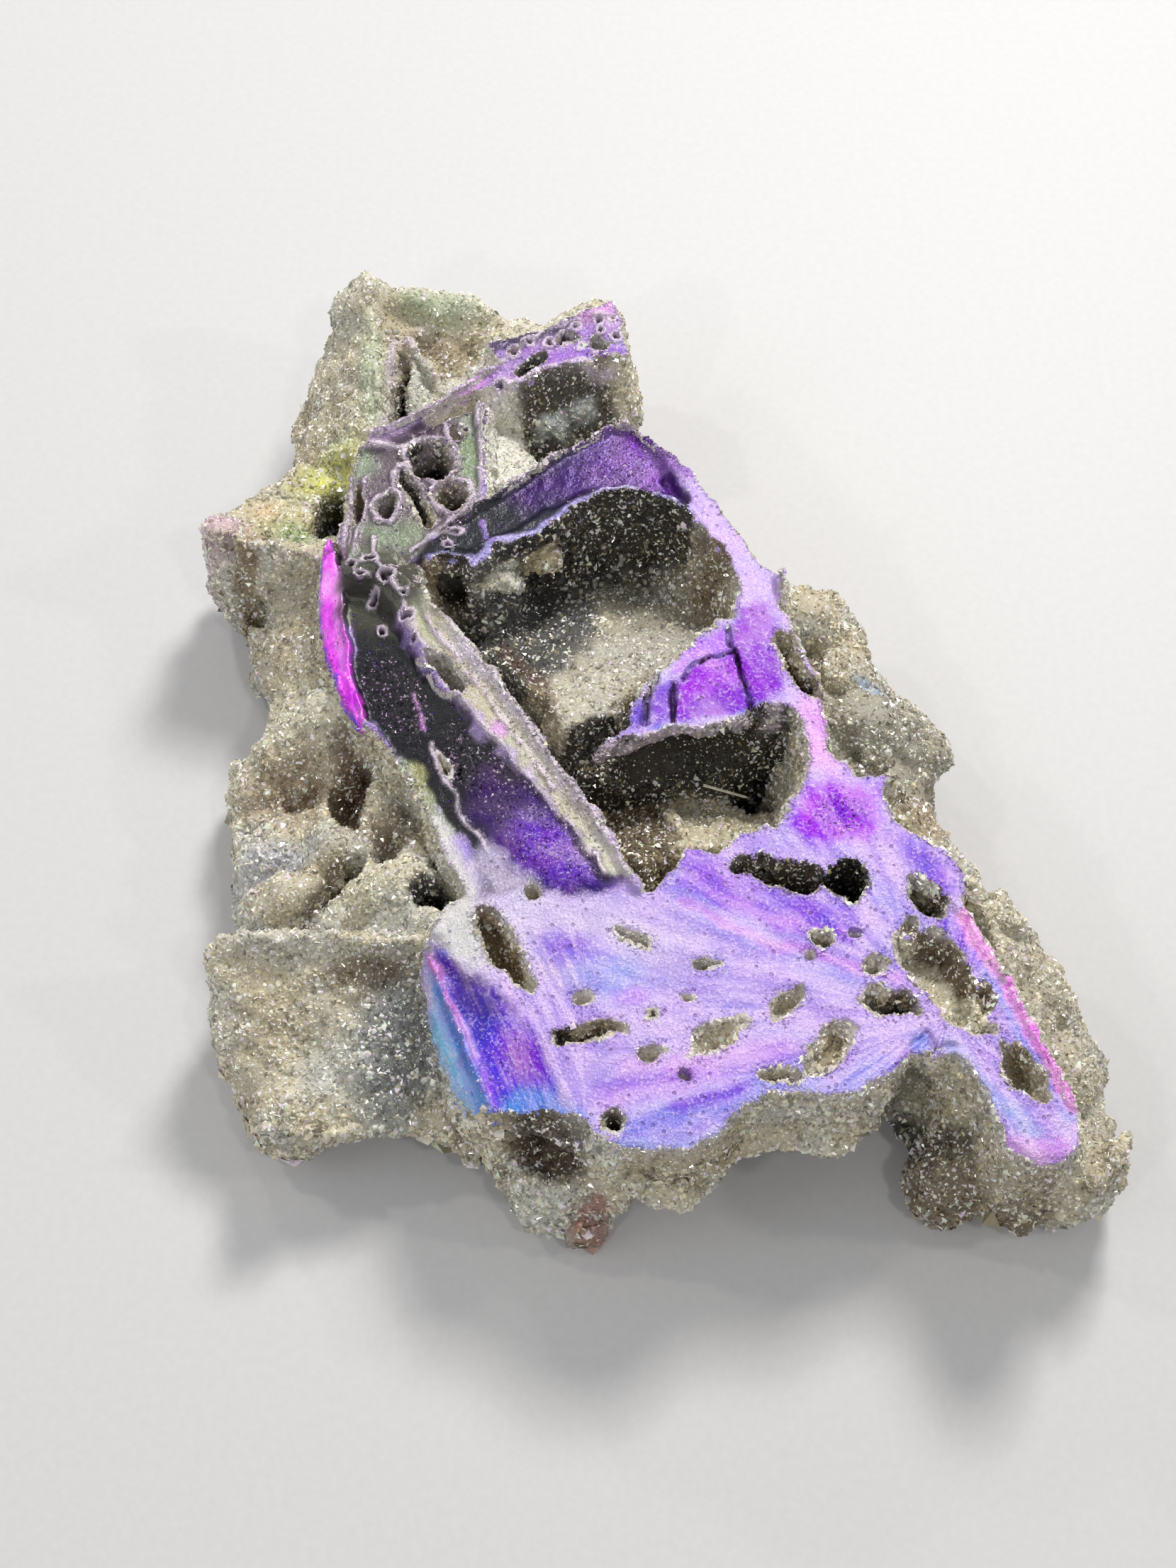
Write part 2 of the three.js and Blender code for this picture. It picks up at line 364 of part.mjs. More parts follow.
// Sites along a line, about step apart, moved sideways to the right of its direction.
function sitesAlong(line, step, sideways = 0, closed = true) {
  const sites = [];
  const edges = closed ? line.length : line.length - 1;
  for (let i = 0; i < edges; i++) {
    const [ax, ay] = line[i];
    const [bx, by] = line[(i + 1) % line.length];
    const length = Math.hypot(bx - ax, by - ay);
    const count = Math.max(1, Math.round(length / step));
    const shiftX = ((by - ay) / length) * sideways;
    const shiftY = ((ax - bx) / length) * sideways;
    for (let k = 0; k < count; k++) {
      const t = k / count;
      sites.push([lerp(ax, bx, t) + shiftX, lerp(ay, by, t) + shiftY]);
    }
  }
  return sites;
}

function sitesRoundOval({ at, half, turn }, scale, step) {
  const count = Math.max(5, Math.round((Math.PI * (half[0] + half[1]) * scale) / step));
  const c = Math.cos(rad(turn));
  const s = Math.sin(rad(turn));
  return Array.from({ length: count }, (_, i) => {
    const angle = (2 * Math.PI * (i + 0.5)) / count;
    const u = Math.cos(angle) * half[0] * scale;
    const v = Math.sin(angle) * half[1] * scale;
    return [at[0] + u * c - v * s, at[1] + u * s + v * c];
  });
}

// Collects sites that lie inside the rim and keep their distance from each other.
class Sites {
  constructor(rim) {
    this.rim = rim;
    this.list = [];
    this.cells = new Map();
    for (const [x, y] of rim) this.keep(x, y, 0);
  }

  cellAt(i, j) {
    const key = `${i},${j}`;
    if (!this.cells.has(key)) this.cells.set(key, []);
    return this.cells.get(key);
  }

  keep(x, y, lift) {
    const site = { x, y, lift };
    this.cellAt(Math.floor(x / BELLY_STEP), Math.floor(y / BELLY_STEP)).push(site);
    this.list.push(site);
  }

  // A site is kept if it is at least gap from every other. lift is about 1 at a crystal's tip, else below 0.
  offer(x, y, gap = SITE_GAP, lift = 0) {
    if (distanceTo(this.rim, x, y) > -RIM_MARGIN) return;
    const i = Math.floor(x / BELLY_STEP);
    const j = Math.floor(y / BELLY_STEP);
    for (let di = -1; di <= 1; di++)
      for (let dj = -1; dj <= 1; dj++)
        if (this.cellAt(i + di, j + dj).some((site) => Math.hypot(site.x - x, site.y - y) < gap)) return;
    this.keep(x, y, lift);
  }

  // A jittered triangular lattice, in which every third site is the tip of a six-sided crystal.
  lattice(spacing, accepts) {
    const row = spacing * Math.sqrt(0.75);
    const rows = Math.ceil(75 / row);
    const columns = Math.ceil(75 / spacing) + 2 * rows;
    for (let j = -rows; j <= rows; j++)
      for (let i = -columns; i <= columns; i++) {
        const x = (i + j / 2 + JITTER * (scatter(i, j) - 0.5)) * spacing;
        const y = 14 + j * row + JITTER * spacing * (scatter(i, j, 1) - 0.5);
        const isTip = (((i - j) % 3) + 3) % 3 === 0;
        const lift = isTip ? 0.7 + 0.6 * scatter(i, j, 2) : -0.4;
        if (accepts(x, y)) this.offer(x, y, 0.55 * spacing, lift);
      }
  }
}

// Sites of the top: rings round the crests, hollows and regions, then crystal points, then the level faces.
function sitesOfTop(rim) {
  const sites = new Sites(rim);
  for (const { line } of Object.values(CRESTS))
    for (const [x, y] of sitesAlong(line, 2.6, 0, false)) sites.offer(x, y);
  for (const hollow of Object.values(HOLLOWS))
    for (const scale of [1.12, 0.6])
      for (const [x, y] of sitesRoundOval(hollow, scale, 2)) sites.offer(x, y, 1);
  for (const { outline, soft } of Object.values(REGIONS).filter(({ film, vug }) => film || vug))
    for (const sideways of [soft, -soft])
      for (const [x, y] of sitesAlong(outline, 2.7, sideways)) sites.offer(x, y);
  sites.lattice(POINT_SPACING, (x, y) => topAt(x, y).film < 0.5);
  sites.lattice(FACE_STEP, (x, y) => topAt(x, y).film >= 0.5);
  return sites.list;
}

function sitesOfBelly(rim) {
  const sites = new Sites(rim);
  for (const foot of Object.values(FEET))
    for (const scale of [0.5, 1.1])
      for (const [x, y] of sitesRoundOval(foot, scale, BELLY_STEP)) sites.offer(x, y, 2.5);
  sites.lattice(BELLY_STEP, () => true);
  return sites.list;
}

// Delaunay triangles of sites: the underside of the convex hull of the sites lifted onto a paraboloid.
function triangulate(sites, rim) {
  const lifted = sites.map(({ x, y }) => new THREE.Vector3(x, y, (x * x + y * y) / 100));
  const indexOf = new Map(lifted.map((point, i) => [point, i]));
  const triangles = [];
  for (const face of new ConvexHull().setFromPoints(lifted).faces) {
    if (face.normal.z > -1e-9) continue;
    const corners = [2, 1, 0].map((i) => indexOf.get(face.getEdge(i).head().point));
    const x = (sites[corners[0]].x + sites[corners[1]].x + sites[corners[2]].x) / 3;
    const y = (sites[corners[0]].y + sites[corners[1]].y + sites[corners[2]].y) / 3;
    if (distanceTo(rim, x, y) < 0) triangles.push(corners);
  }
  return triangles;
}

// Vertices and triangles of a solid while it is built.
class Facets {
  vertices = [];
  indices = [];

  add(x, y, z) {
    this.vertices.push(x, y, z);
    return this.vertices.length / 3 - 1;
  }

  // A strip between two rows of vertices, a above b, seen from outside from left to right.
  strip(a, b, closed = true) {
    for (let i = 0; i < (closed ? a.length : a.length - 1); i++) {
      const j = (i + 1) % a.length;
      if (i % 2) this.indices.push(a[i], b[i], a[j], a[j], b[i], b[j]);
      else this.indices.push(a[i], b[i], b[j], a[i], b[j], a[j]);
    }
  }

  geometry() {
    const geometry = new THREE.BufferGeometry();
    geometry.setAttribute("position", new THREE.Float32BufferAttribute(this.vertices, 3));
    geometry.setIndex(this.indices);
    return geometry;
  }
}

const topHeight = ({ x, y, lift }) => {
  const { z, film, vug } = topAt(x, y);
  return z + lift * POINT_HEIGHT * (1 - film) * (1 - vug);
};

const bellyHeight = ({ x, y }) => Math.max(0, Math.min(bellyAt(x, y), topAt(x, y).z - LEAST_THICKNESS));

// The slab before any cut: its top and its underside over one rim, and rings of facets down the flank.
function rawSlab(rim, sites, triangles) {
  const facets = new Facets();
  const top = sites.map((site) => facets.add(site.x, site.y, topHeight(site)));
  for (const [a, b, c] of triangles) facets.indices.push(top[a], top[b], top[c]);

  const bellySites = sitesOfBelly(rim);
  const belly = bellySites.map((site) => facets.add(site.x, site.y, bellyHeight(site)));
  for (const [a, b, c] of triangulate(bellySites, rim)) facets.indices.push(belly[a], belly[c], belly[b]);

  // The first sites of both are the rim's own, in its order.
  let above = top.slice(0, rim.length);
  for (let ring = 1; ring < FLANK_RINGS; ring++) {
    const share = ring / FLANK_RINGS;
    const below = rim.map(([x, y], i) => {
      const before = rim[(i + rim.length - 2) % rim.length];
      const after = rim[(i + 2) % rim.length];
      const along = new THREE.Vector2(after[0] - before[0], after[1] - before[1]).normalize();
      const isTip = (i + ring) % 3 === 0;
      const swell = FLANK_BULGE * Math.sin(Math.PI * share) + 0.8 * noise(x, y, 9, ring);
      const out = swell + (isTip ? 0.7 : -0.3);
      return facets.add(x + along.y * out, y - along.x * out,
        lerp(topHeight(sites[i]), bellyHeight(sites[i]), share));
    });
    facets.strip(above, below);
    above = below;
  }
  facets.strip(above, belly.slice(0, rim.length));
  return facets.geometry();
}

// The edges of a patch of triangles, as a map from each corner to the corners that follow it anticlockwise.
function borderOf(triangles) {
  const edges = new Set(triangles.flatMap(([a, b, c]) => [`${a},${b}`, `${b},${c}`, `${c},${a}`]));
  const border = new Map();
  for (const [a, b, c] of triangles)
    for (const [from, to] of [[a, b], [b, c], [c, a]])
      if (!edges.has(`${to},${from}`)) border.set(from, [...(border.get(from) ?? []), to]);
  return border;
}

// The triangles in patches that share no corner, largest first. No patch touches itself at a corner.
function patchesOf(triangles) {
  const border = borderOf(triangles);
  const isPinched = (corners) => corners.some((i) => border.get(i)?.length > 1);
  if (triangles.some(isPinched)) return patchesOf(triangles.filter((corners) => !isPinched(corners)));
  const patches = [];
  for (const corners of triangles) {
    const touching = patches.filter(({ all }) => corners.some((i) => all.has(i)));
    const merged = { all: new Set(corners), triangles: [corners] };
    for (const patch of touching) {
      patch.all.forEach((i) => merged.all.add(i));
      merged.triangles.push(...patch.triangles);
      patches.splice(patches.indexOf(patch), 1);
    }
    patches.push(merged);
  }
  return patches.map((patch) => patch.triangles).sort((a, b) => b.length - a.length);
}

// A crust of crystals: the facets of a vug's floor again, raised clear of the rock, with crystal points.
function crustGeometry(sites, floor) {
  const border = borderOf(floor);
  const facets = new Facets();
  const under = new Map();
  const over = new Map();
  for (const i of new Set(floor.flat())) {
    const { x, y, lift } = sites[i];
    const { z } = topAt(x, y);
    const thickness = border.has(i) ? CRUST_EDGE : CRUST_THICKNESS + lift * POINT_HEIGHT;
    under.set(i, facets.add(x, y, z + CRUST_GAP));
    over.set(i, facets.add(x, y, z + CRUST_GAP + thickness));
  }
  for (const [a, b, c] of floor) {
    facets.indices.push(over.get(a), over.get(b), over.get(c));
    facets.indices.push(under.get(a), under.get(c), under.get(b));
  }
  for (const [from, [to]] of border)
    facets.strip([over.get(from), over.get(to)], [under.get(from), under.get(to)], false);
  return facets.geometry();
}

const wasm = await Module();
wasm.setup();

// A closed geometry as a solid that can be cut and joined, and back.
function toSolid(geometry) {
  const bare = geometry.clone();
  bare.deleteAttribute("normal");
  bare.deleteAttribute("uv");
  const merged = mergeVertices(bare, 1e-4);
  return new wasm.Manifold(new wasm.Mesh({
    numProp: 3,
    vertProperties: new Float32Array(merged.attributes.position.array),
    triVerts: new Uint32Array(merged.index.array),
  }));
}

function toGeometry(solid) {
  const { vertProperties, triVerts } = solid.getMesh();
  const geometry = new THREE.BufferGeometry();
  geometry.setAttribute("position", new THREE.BufferAttribute(vertProperties, 3));
  geometry.setIndex(new THREE.BufferAttribute(triVerts, 1));
  geometry.computeVertexNormals();
  return geometry;
}

// A shaft that opens at the underside, a little wider there.
function shaftGeometry({ at, top, bottom }) {
  const shaft = new THREE.CylinderGeometry(top, bottom, SHAFT_LENGTH, 7);
  shaft.rotateX(Math.PI / 2);
  shaft.translate(at[0], at[1], SHAFT_LENGTH / 2 - 2);
  return shaft;
}

// A rough egg shape with flat facets, cut off level at the ground.
function eggGeometry({ at, half, turn }) {
  const egg = new THREE.IcosahedronGeometry(1, 2);
  egg.scale(...half);
  egg.rotateZ(rad(turn));
  egg.translate(...at);
  const { array, count } = egg.attributes.position;
  for (let i = 0; i < 3 * count; i += 3) {
    const [x, y, z] = array.subarray(i, i + 3);
    array[i] = x + 0.9 * noise(y, z, 4, 5);
    array[i + 1] = y + 0.9 * noise(x, z, 4, 6);
    array[i + 2] = Math.max(0, z);
  }
  return egg;
}

function slabSolid(rim, sites, triangles) {
  const raw = toSolid(rawSlab(rim, sites, triangles));
  const knobs = Object.values(KNOBS).map(eggGeometry);
  const knobbed = knobs.map(toSolid).reduce((slab, knob) => slab.add(knob), raw);
  const cutters = [...Object.values(SHAFTS).map(shaftGeometry), ...Object.values(CAVES).map(eggGeometry)];
  return cutters.map(toSolid).reduce((slab, cutter) => slab.subtract(cutter), knobbed);
}

const rim = sitesAlong(OUTLINE, EDGE_STEP);
const sites = sitesOfTop(rim);
const triangles = triangulate(sites, rim);
const inVug = sites.map(({ x, y }) => topAt(x, y).vug > CRUST_SHARE);
const [bowlFloor, pitFloor] = patchesOf(triangles.filter((corners) => corners.every((i) => inVug[i])));

const rock = new THREE.MeshStandardMaterial({ color: "#b4a6bd", roughness: 0.4, metalness: 0.15 });
const druse = new THREE.MeshStandardMaterial({ color: "#8c7f68", roughness: 0.3, metalness: 0 });

function piece(name, geometry, material) {
  const mesh = new THREE.Mesh(geometry, material);
  mesh.name = name;
  return mesh;
}

const sphaleriteSlab = new THREE.Group();
sphaleriteSlab.position.set(-MIDDLE[0], -MIDDLE[1], 0);
sphaleriteSlab.add(piece("druse_slab", toGeometry(slabSolid(rim, sites, triangles)), rock));
sphaleriteSlab.add(piece("bowl_crust", toGeometry(toSolid(crustGeometry(sites, bowlFloor))), druse));
sphaleriteSlab.add(piece("pit_crust", toGeometry(toSolid(crustGeometry(sites, pitFloor))), druse));

export default sphaleriteSlab;
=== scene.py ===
"""A drusy sphalerite slab: vein rock with a violet film on its level faces and quartz points on the rest.

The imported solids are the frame. One fine stone of the same form replaces the slab, and joined meshes of
small quartz points cover its flanks, hollows and two vugs. Places are in plan, in millimetres, as on the
solids: row = plan - MIDDLE.
"""

import itertools
import math

import bpy
import numpy as np
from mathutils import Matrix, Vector


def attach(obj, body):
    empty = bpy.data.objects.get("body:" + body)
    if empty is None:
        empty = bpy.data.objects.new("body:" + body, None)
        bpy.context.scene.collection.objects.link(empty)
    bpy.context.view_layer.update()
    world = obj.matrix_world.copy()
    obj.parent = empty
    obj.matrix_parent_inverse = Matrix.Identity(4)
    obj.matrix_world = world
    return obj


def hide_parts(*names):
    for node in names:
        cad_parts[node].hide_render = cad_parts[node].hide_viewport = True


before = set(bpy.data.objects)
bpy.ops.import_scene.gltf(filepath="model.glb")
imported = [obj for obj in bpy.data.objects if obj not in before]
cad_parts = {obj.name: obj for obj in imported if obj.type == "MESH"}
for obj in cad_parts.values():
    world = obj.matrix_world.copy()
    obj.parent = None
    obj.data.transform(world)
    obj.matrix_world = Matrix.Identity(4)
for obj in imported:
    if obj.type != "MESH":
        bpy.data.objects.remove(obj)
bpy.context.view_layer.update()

MM = 0.001
MIDDLE = (-3.4, 13.8)  # of the slab, in plan
LOW = (-66.0, -58.0, -2.0)  # corners of the box that the stone is drawn in
HIGH = (60.0, 86.0, 34.0)
FACE = 28  # height of the level, film-covered faces
FLANK = 18  # height of the plain rock round them
BELLY = 3  # height of the underside between the feet
BESIDE = 8.0  # height that counts for places beside the stone, where hollows are measured
LEAST_THICKNESS = 4  # of the rock between the top and the underside
CRUST = 1.6  # how far a vug's floor is raised by its crust of crystals
BULGE = 1.3  # how far the flank swells past the outline
SWIRL = (33, -35)  # the film's streaks run out from this place and round it
FAN_TURN = math.radians(-66)  # of the fan's streaks, which run straight
STEP = 0.33  # of the lattice that the stone's surface is drawn from
STONE_TRIANGLES = 190_000
TOP_SPACING = 0.6  # between neighbouring quartz points on the upper side
FLANK_SPACING = 0.85
UNDERSIDE_SPACING = 2.1
GRAIN_SPACING = 0.55  # between the grains under the film
CLEAR_SPACING = 2.0  # between the large clear points
COARSE = 1.0  # how many times wider apart the points stand
SITE_TRIES = 6  # places drawn for each point that is wanted
QUARTZ_IOR = 1.6
LENS = 50
CAMERA_AIM = (-9.5, 0.0, 20)  # in plan
CAMERA_ELEVATION = 62  # degrees above the level
CAMERA_DISTANCE = 280

# Plan of the slab's rim, anticlockwise from the far left corner.
OUTLINE = [
    (-45, 79), (-46.5, 74), (-49, 68), (-50, 62), (-50, 57), (-50.5, 52.5), (-52, 48), (-56, 44.5),
    (-60, 41.5), (-61.5, 38.5), (-59.5, 35.5), (-57, 33), (-56, 29), (-54.5, 24.5), (-51.5, 20),
    (-51, 15), (-53, 10), (-56.5, 7), (-57, 3.5), (-55.5, 0), (-54.5, -6), (-53, -12), (-52.5, -17),
    (-53.5, -21), (-56, -24.5), (-55.5, -30), (-53, -35.5), (-50.5, -40), (-48.5, -43.5), (-44, -44),
    (-37, -42.5), (-30, -42.5), (-25, -43.5), (-22, -46), (-19, -47.5), (-13, -48), (-10.5, -50),
    (-8, -51.5), (-5, -52.5), (-1, -52.5), (3, -52), (6, -50), (8.5, -47.5), (13, -45.5), (17, -45.5),
    (22, -46), (26, -43.5), (28.5, -41.5), (31, -42), (33, -45), (36, -48), (38, -50.5), (41, -52.5),
    (46, -53), (51, -52), (54, -48.5), (54.5, -42), (53.5, -36), (52, -31), (50, -27), (47, -24),
    (44, -21), (41.5, -17), (39.5, -14.5), (39.5, -11), (37, -8), (34, -4), (33.5, 0), (35.5, 5),
    (37, 10), (35.5, 14), (31.5, 16.5), (28.5, 20), (26.5, 22.5), (27, 26.5), (24, 30.5), (19.5, 32.5),
    (15, 32.5), (13, 34.5), (10.5, 38.5), (7.5, 43), (4.5, 47), (1, 50.5), (-3, 52.8), (-4, 57),
    (-3.6, 63), (-3.8, 68), (-5, 73), (-8, 76), (-12, 75), (-16, 72.5), (-20, 73.3), (-25, 75.3),
    (-31, 77), (-36, 78.3), (-40, 80.5), (-43, 80.5),
]


def region(at, slope, soft, outline, film=0, vug=0):
    """A part of the top: a place on its plane, the plane's slopes, how soft its edge is, and its plan."""
    return dict(at=at, slope=slope, soft=soft, outline=outline, film=film, vug=vug)


def oval(x, y, a, b, turn=0, **more):
    """An oval in plan: its centre, its half widths and how far it is turned."""
    return dict(at=(x, y), half=(a, b), turn=turn, **more)


def egg(at, half, turn=0):
    """An egg-shaped body: its centre, its half widths and how far it is turned in plan."""
    return dict(at=at, half=half, turn=turn)


def course(line, half, height):
    """A rib or a crack that runs along a line in plan: its half width, and its height or depth."""
    return dict(line=line, half=half, height=height)


# The parts of the top, each over the ones before. film=1 is covered with film, and vug=1 is a vug's floor.
REGIONS = {
    "far_block": region((-30, 68, 23.5), (0.05, 0.02), 1.5, [(-52, 49), (-52, 82), (-2, 82), (-2, 62),
        (-20, 55), (-42, 47)]),
    "far_block_slope": region((-45, 62, 21), (0.95, 0.05), 1.2, [(-53, 48), (-53, 82), (-42, 84),
        (-39, 73), (-38.5, 62), (-39.5, 52), (-43, 47)]),
    "left_ledge": region((-53, 40, 21.5), (-0.05, -0.22), 1.2, [(-64, 39), (-57, 47), (-50, 52),
        (-43, 50), (-42, 40), (-44, 32.5), (-52, 32), (-60, 34)]),
    "left_flank_back": region((-48, 20, 16.5), (0.7, 0.05), 1.2, [(-60, 32.5), (-46, 31), (-44, 26),
        (-41, 10), (-38, 5), (-48, 7), (-58, 9), (-58, 20)]),
    "left_flank": region((-46, -5, 15.5), (0.5, 0.02), 2.5, [(-60, 9), (-40, 8), (-36, 1), (-28, -14),
        (-26, -21), (-30, -22), (-54, -20), (-60, -14)]),
    "block_slope": region((-46, -31, 17.5), (0.12, 0.52), 1.2, [(-60, -21), (-45, -22), (-30, -22.5),
        (-28, -26), (-34, -34), (-36, -44), (-52, -44), (-60, -30)]),
    "block_hollow_slope": region((-31, -34, 16.5), (-0.25, 0.42), 1.5, [(-37, -26), (-29, -25.5),
        (-27, -31), (-24, -39), (-22, -48), (-37, -44), (-38, -34)]),
    "right_flank": region((46, -31, 19.5), (-0.85, 0.1), 1.3, [(34, -12), (37, -20), (41, -30), (45, -38),
        (49, -47), (47, -55), (55, -45), (56, -26), (44, -12)]),
    "right_flank_back": region((33, -5, 20), (-0.6, -0.1), 1.5, [(27, -2), (29, -7), (34, -13), (40, -18),
        (44, -10), (36, 0), (30, 1)]),
    "right_shoulder": region((27, 8, 17), (-0.3, 0.1), 1.5, [(22, -2), (30, -3), (40, 3), (38, 16),
        (28, 21), (22, 22), (20, 12)]),
    "main_face": region((0, -35, FACE - 0.5), (0.004, 0.012), 0.7, [(-25, -18), (-28.5, -22),
        (-29.3, -25.5), (-28, -30), (-26, -36), (-23.6, -42), (-22.4, -46.6), (-18, -46.4), (-15, -46.2),
        (-11, -47.6), (-8, -50.5), (-5, -52), (-1, -51.5), (2, -52.5), (5.5, -50), (8, -47), (12, -45),
        (17, -45), (22, -45.3), (26.5, -42), (28.5, -40), (31, -40.5), (33, -40), (36, -43.5),
        (37.8, -48.2), (37.8, -51.4), (40, -53.2), (44.6, -54), (47.8, -51), (48, -46.5), (45, -40),
        (42.5, -34), (40.5, -29.5), (38.5, -25), (36, -20.5), (36.5, -16), (33, -12), (29, -8.5),
        (27.5, -6), (30, -2), (24, -2.5), (21.5, 0), (20.5, 6), (20.5, 12), (17.5, 18), (16, 22),
        (17, 26), (13, 29.5), (9, 37), (4, 44), (-1.5, 50), (-4, 52), (-8, 51), (-13, 47.8), (-19, 43.4),
        (-24.6, 38.4), (-29, 34.5), (-34, 31), (-31.2, 28.2), (-29.4, 29.0), (-27, 29.4), (-24, 28),
        (-21.4, 30.8), (-16.8, 32.8), (-12, 36.6), (-7.3, 38.8), (-3, 39.4), (1, 38.6), (3.8, 35.8),
        (7.5, 30), (10, 24), (9.5, 21), (5, 17.5), (0, 13), (-3, 9.5), (-6, 4), (-9, 1.8), (-3, 2.3),
        (3, 3.3), (8, 4), (11, 5.3), (13.5, 7), (15.5, 7), (17, 4), (18, 0), (17, -4), (15, -7),
        (14, -9.5), (10, -10.5), (6, -13), (2, -12), (0, -16), (-2.5, -18.5), (-5.5, -12.5), (-9, -7),
        (-13.5, 0), (-18.5, 8), (-23.5, 15.5), (-28, 21), (-31.5, 25), (-30.5, 28.5), (-35, 30),
        (-42.6, 30.5), (-42.2, 20), (-40.8, 12), (-38.6, 6), (-34, 1), (-30, -7), (-27.5, -13)], film=1),
    "boxwork": region((-33, 42, FACE - 1.5), (0.02, 0.02), 0.7, [(-41, 49), (-42.5, 42), (-43, 34),
        (-42, 29), (-38, 27), (-33, 29), (-28, 35), (-22.5, 40), (-22.5, 56.5), (-28, 54), (-33, 51)],
        film=1),
    "far_band": region((-20, 61, FACE - 0.3), (0.02, 0.0), 0.7, [(-39, 50.5), (-33, 54), (-27, 58.5),
        (-22, 62), (-24, 66), (-15, 69), (-10, 71), (-6, 73.5), (-4, 70), (-4, 63), (-9, 62.8), (-14, 61),
        (-19, 57.5), (-24, 57.5), (-29, 54.5), (-34, 50), (-39.5, 48)], film=1),
    "pocket_slope": region((-20, 49, 22), (-0.5, -0.3), 0.9, [(-22.5, 56), (-22.5, 41.5), (-15.5, 46.5),
        (-16.5, 50), (-19.5, 56.5)]),
    "far_pocket": region((-11, 55, 17), (0.15, 0.2), 1.1, [(-18, 56), (-13, 59.8), (-9, 61.5),
        (-5.6, 61.6), (-5.4, 54), (-8, 51.8), (-12.5, 49.5), (-16, 48.5)]),
    "far_hollow": region((-29, 65, 20.5), (0.1, 0.25), 1.3, [(-34.5, 70), (-29, 71.5), (-24, 69.5),
        (-25.5, 64), (-28.5, 60), (-31, 58.5), (-33, 63)]),
    "wedge_hollow": region((-35, 60, 21), (0.3, 0.15), 0.9, [(-37, 67.5), (-35.5, 67), (-32.5, 61.5),
        (-31, 57.5), (-34, 55.5), (-37, 53.5), (-37.8, 60)]),
    "dark_bar": region((-25, 0, FACE - 1.7), (0.10, 0.0), 1.0, [(-42, 26), (-38, 25.5), (-33, 18),
        (-30, 12), (-25, 7), (-20, 1), (-15, -5), (-10, -11), (-6, -17), (-11, -18.5), (-18, -18),
        (-24, -19), (-26.5, -15), (-29.5, -8), (-33.5, 0), (-38, 6), (-40, 12), (-41.6, 20)], film=1),
    "violet_bar": region((-14, 41, FACE - 0.9), (0.02, -0.03), 0.8, [(-31, 32.5), (-24, 37.6),
        (-18, 42.8), (-12, 47.6), (-7, 50.6), (-3.5, 50.8), (0, 46), (2, 39.6), (-3, 40.6), (-8, 40),
        (-13, 37.4), (-17, 34.4), (-21, 32.6), (-25, 31)], film=1),
    "blade": region((-43.2, 20, 24.7), (0.4, 0.08), 0.4, [(-45.2, 32.5), (-43.8, 34.5), (-42, 28),
        (-41.4, 20), (-40.2, 13), (-38.2, 5), (-38.9, 5.4), (-41.4, 9.5), (-43.6, 15.5), (-45, 23)],
        film=1),
    "fan_outer": region((-24.5, -35, 25.2), (0.85, 0.5), 0.6, [(-29.3, -25.5), (-27, -31), (-24.5, -38),
        (-21.5, -44), (-21, -45.6), (-23, -45.4), (-26, -41.5), (-28.5, -35), (-30, -29)], film=1),
    "fan_inner": region((-16, -37, 27.3), (0.28, 0.175), 0.8, [(-28.5, -26), (-24.5, -29.5), (-21, -30.4),
        (-18.8, -33), (-15.8, -37), (-13.6, -41), (-11.6, -45), (-11, -47.5), (-15, -46.5), (-19, -46.5),
        (-21, -47.5), (-21.8, -43), (-24.5, -37), (-27, -31)], film=1),
    "bowl": region((-6, 26, 14.5), (0.08, -0.45), 1.5, [(-26, 22.5), (-22.5, 26), (-20.5, 28.6),
        (-16.4, 31.6), (-10.6, 35.4), (-5.4, 37.2), (-1, 37), (3, 34.4), (7, 30.5), (8.6, 26),
        (7.5, 21.8), (3, 18.3), (-2, 13.8), (-6, 8), (-10, 5), (-14, 5.5), (-17, 9), (-21.5, 15.5)],
        vug=1),
    "lower_pit": region((3, -3, 13.5), (0.0, -0.8), 1.2, [(-13, 1.5), (-9, 0), (-4, 0.6), (2, 1.6),
        (8, 2.5), (11, 3.8), (13.5, 5.3), (15, 3), (16.3, 0), (15.4, -3.5), (13.5, -6.5), (11.5, -8.3),
        (6, -10.8), (1.5, -10.5), (-0.6, -13.5), (-2.5, -16), (-5, -11.5), (-9, -6)], vug=1),
    "trench": region((-16, 9, 10.5), (0, 0), 1.1, [(-22.5, 20), (-19.5, 16.5), (-15.5, 10), (-13, 4),
        (-9, -1.5), (-10.5, -4), (-13.6, 1.4), (-18.2, 9.4), (-22, 15)], vug=1),
}

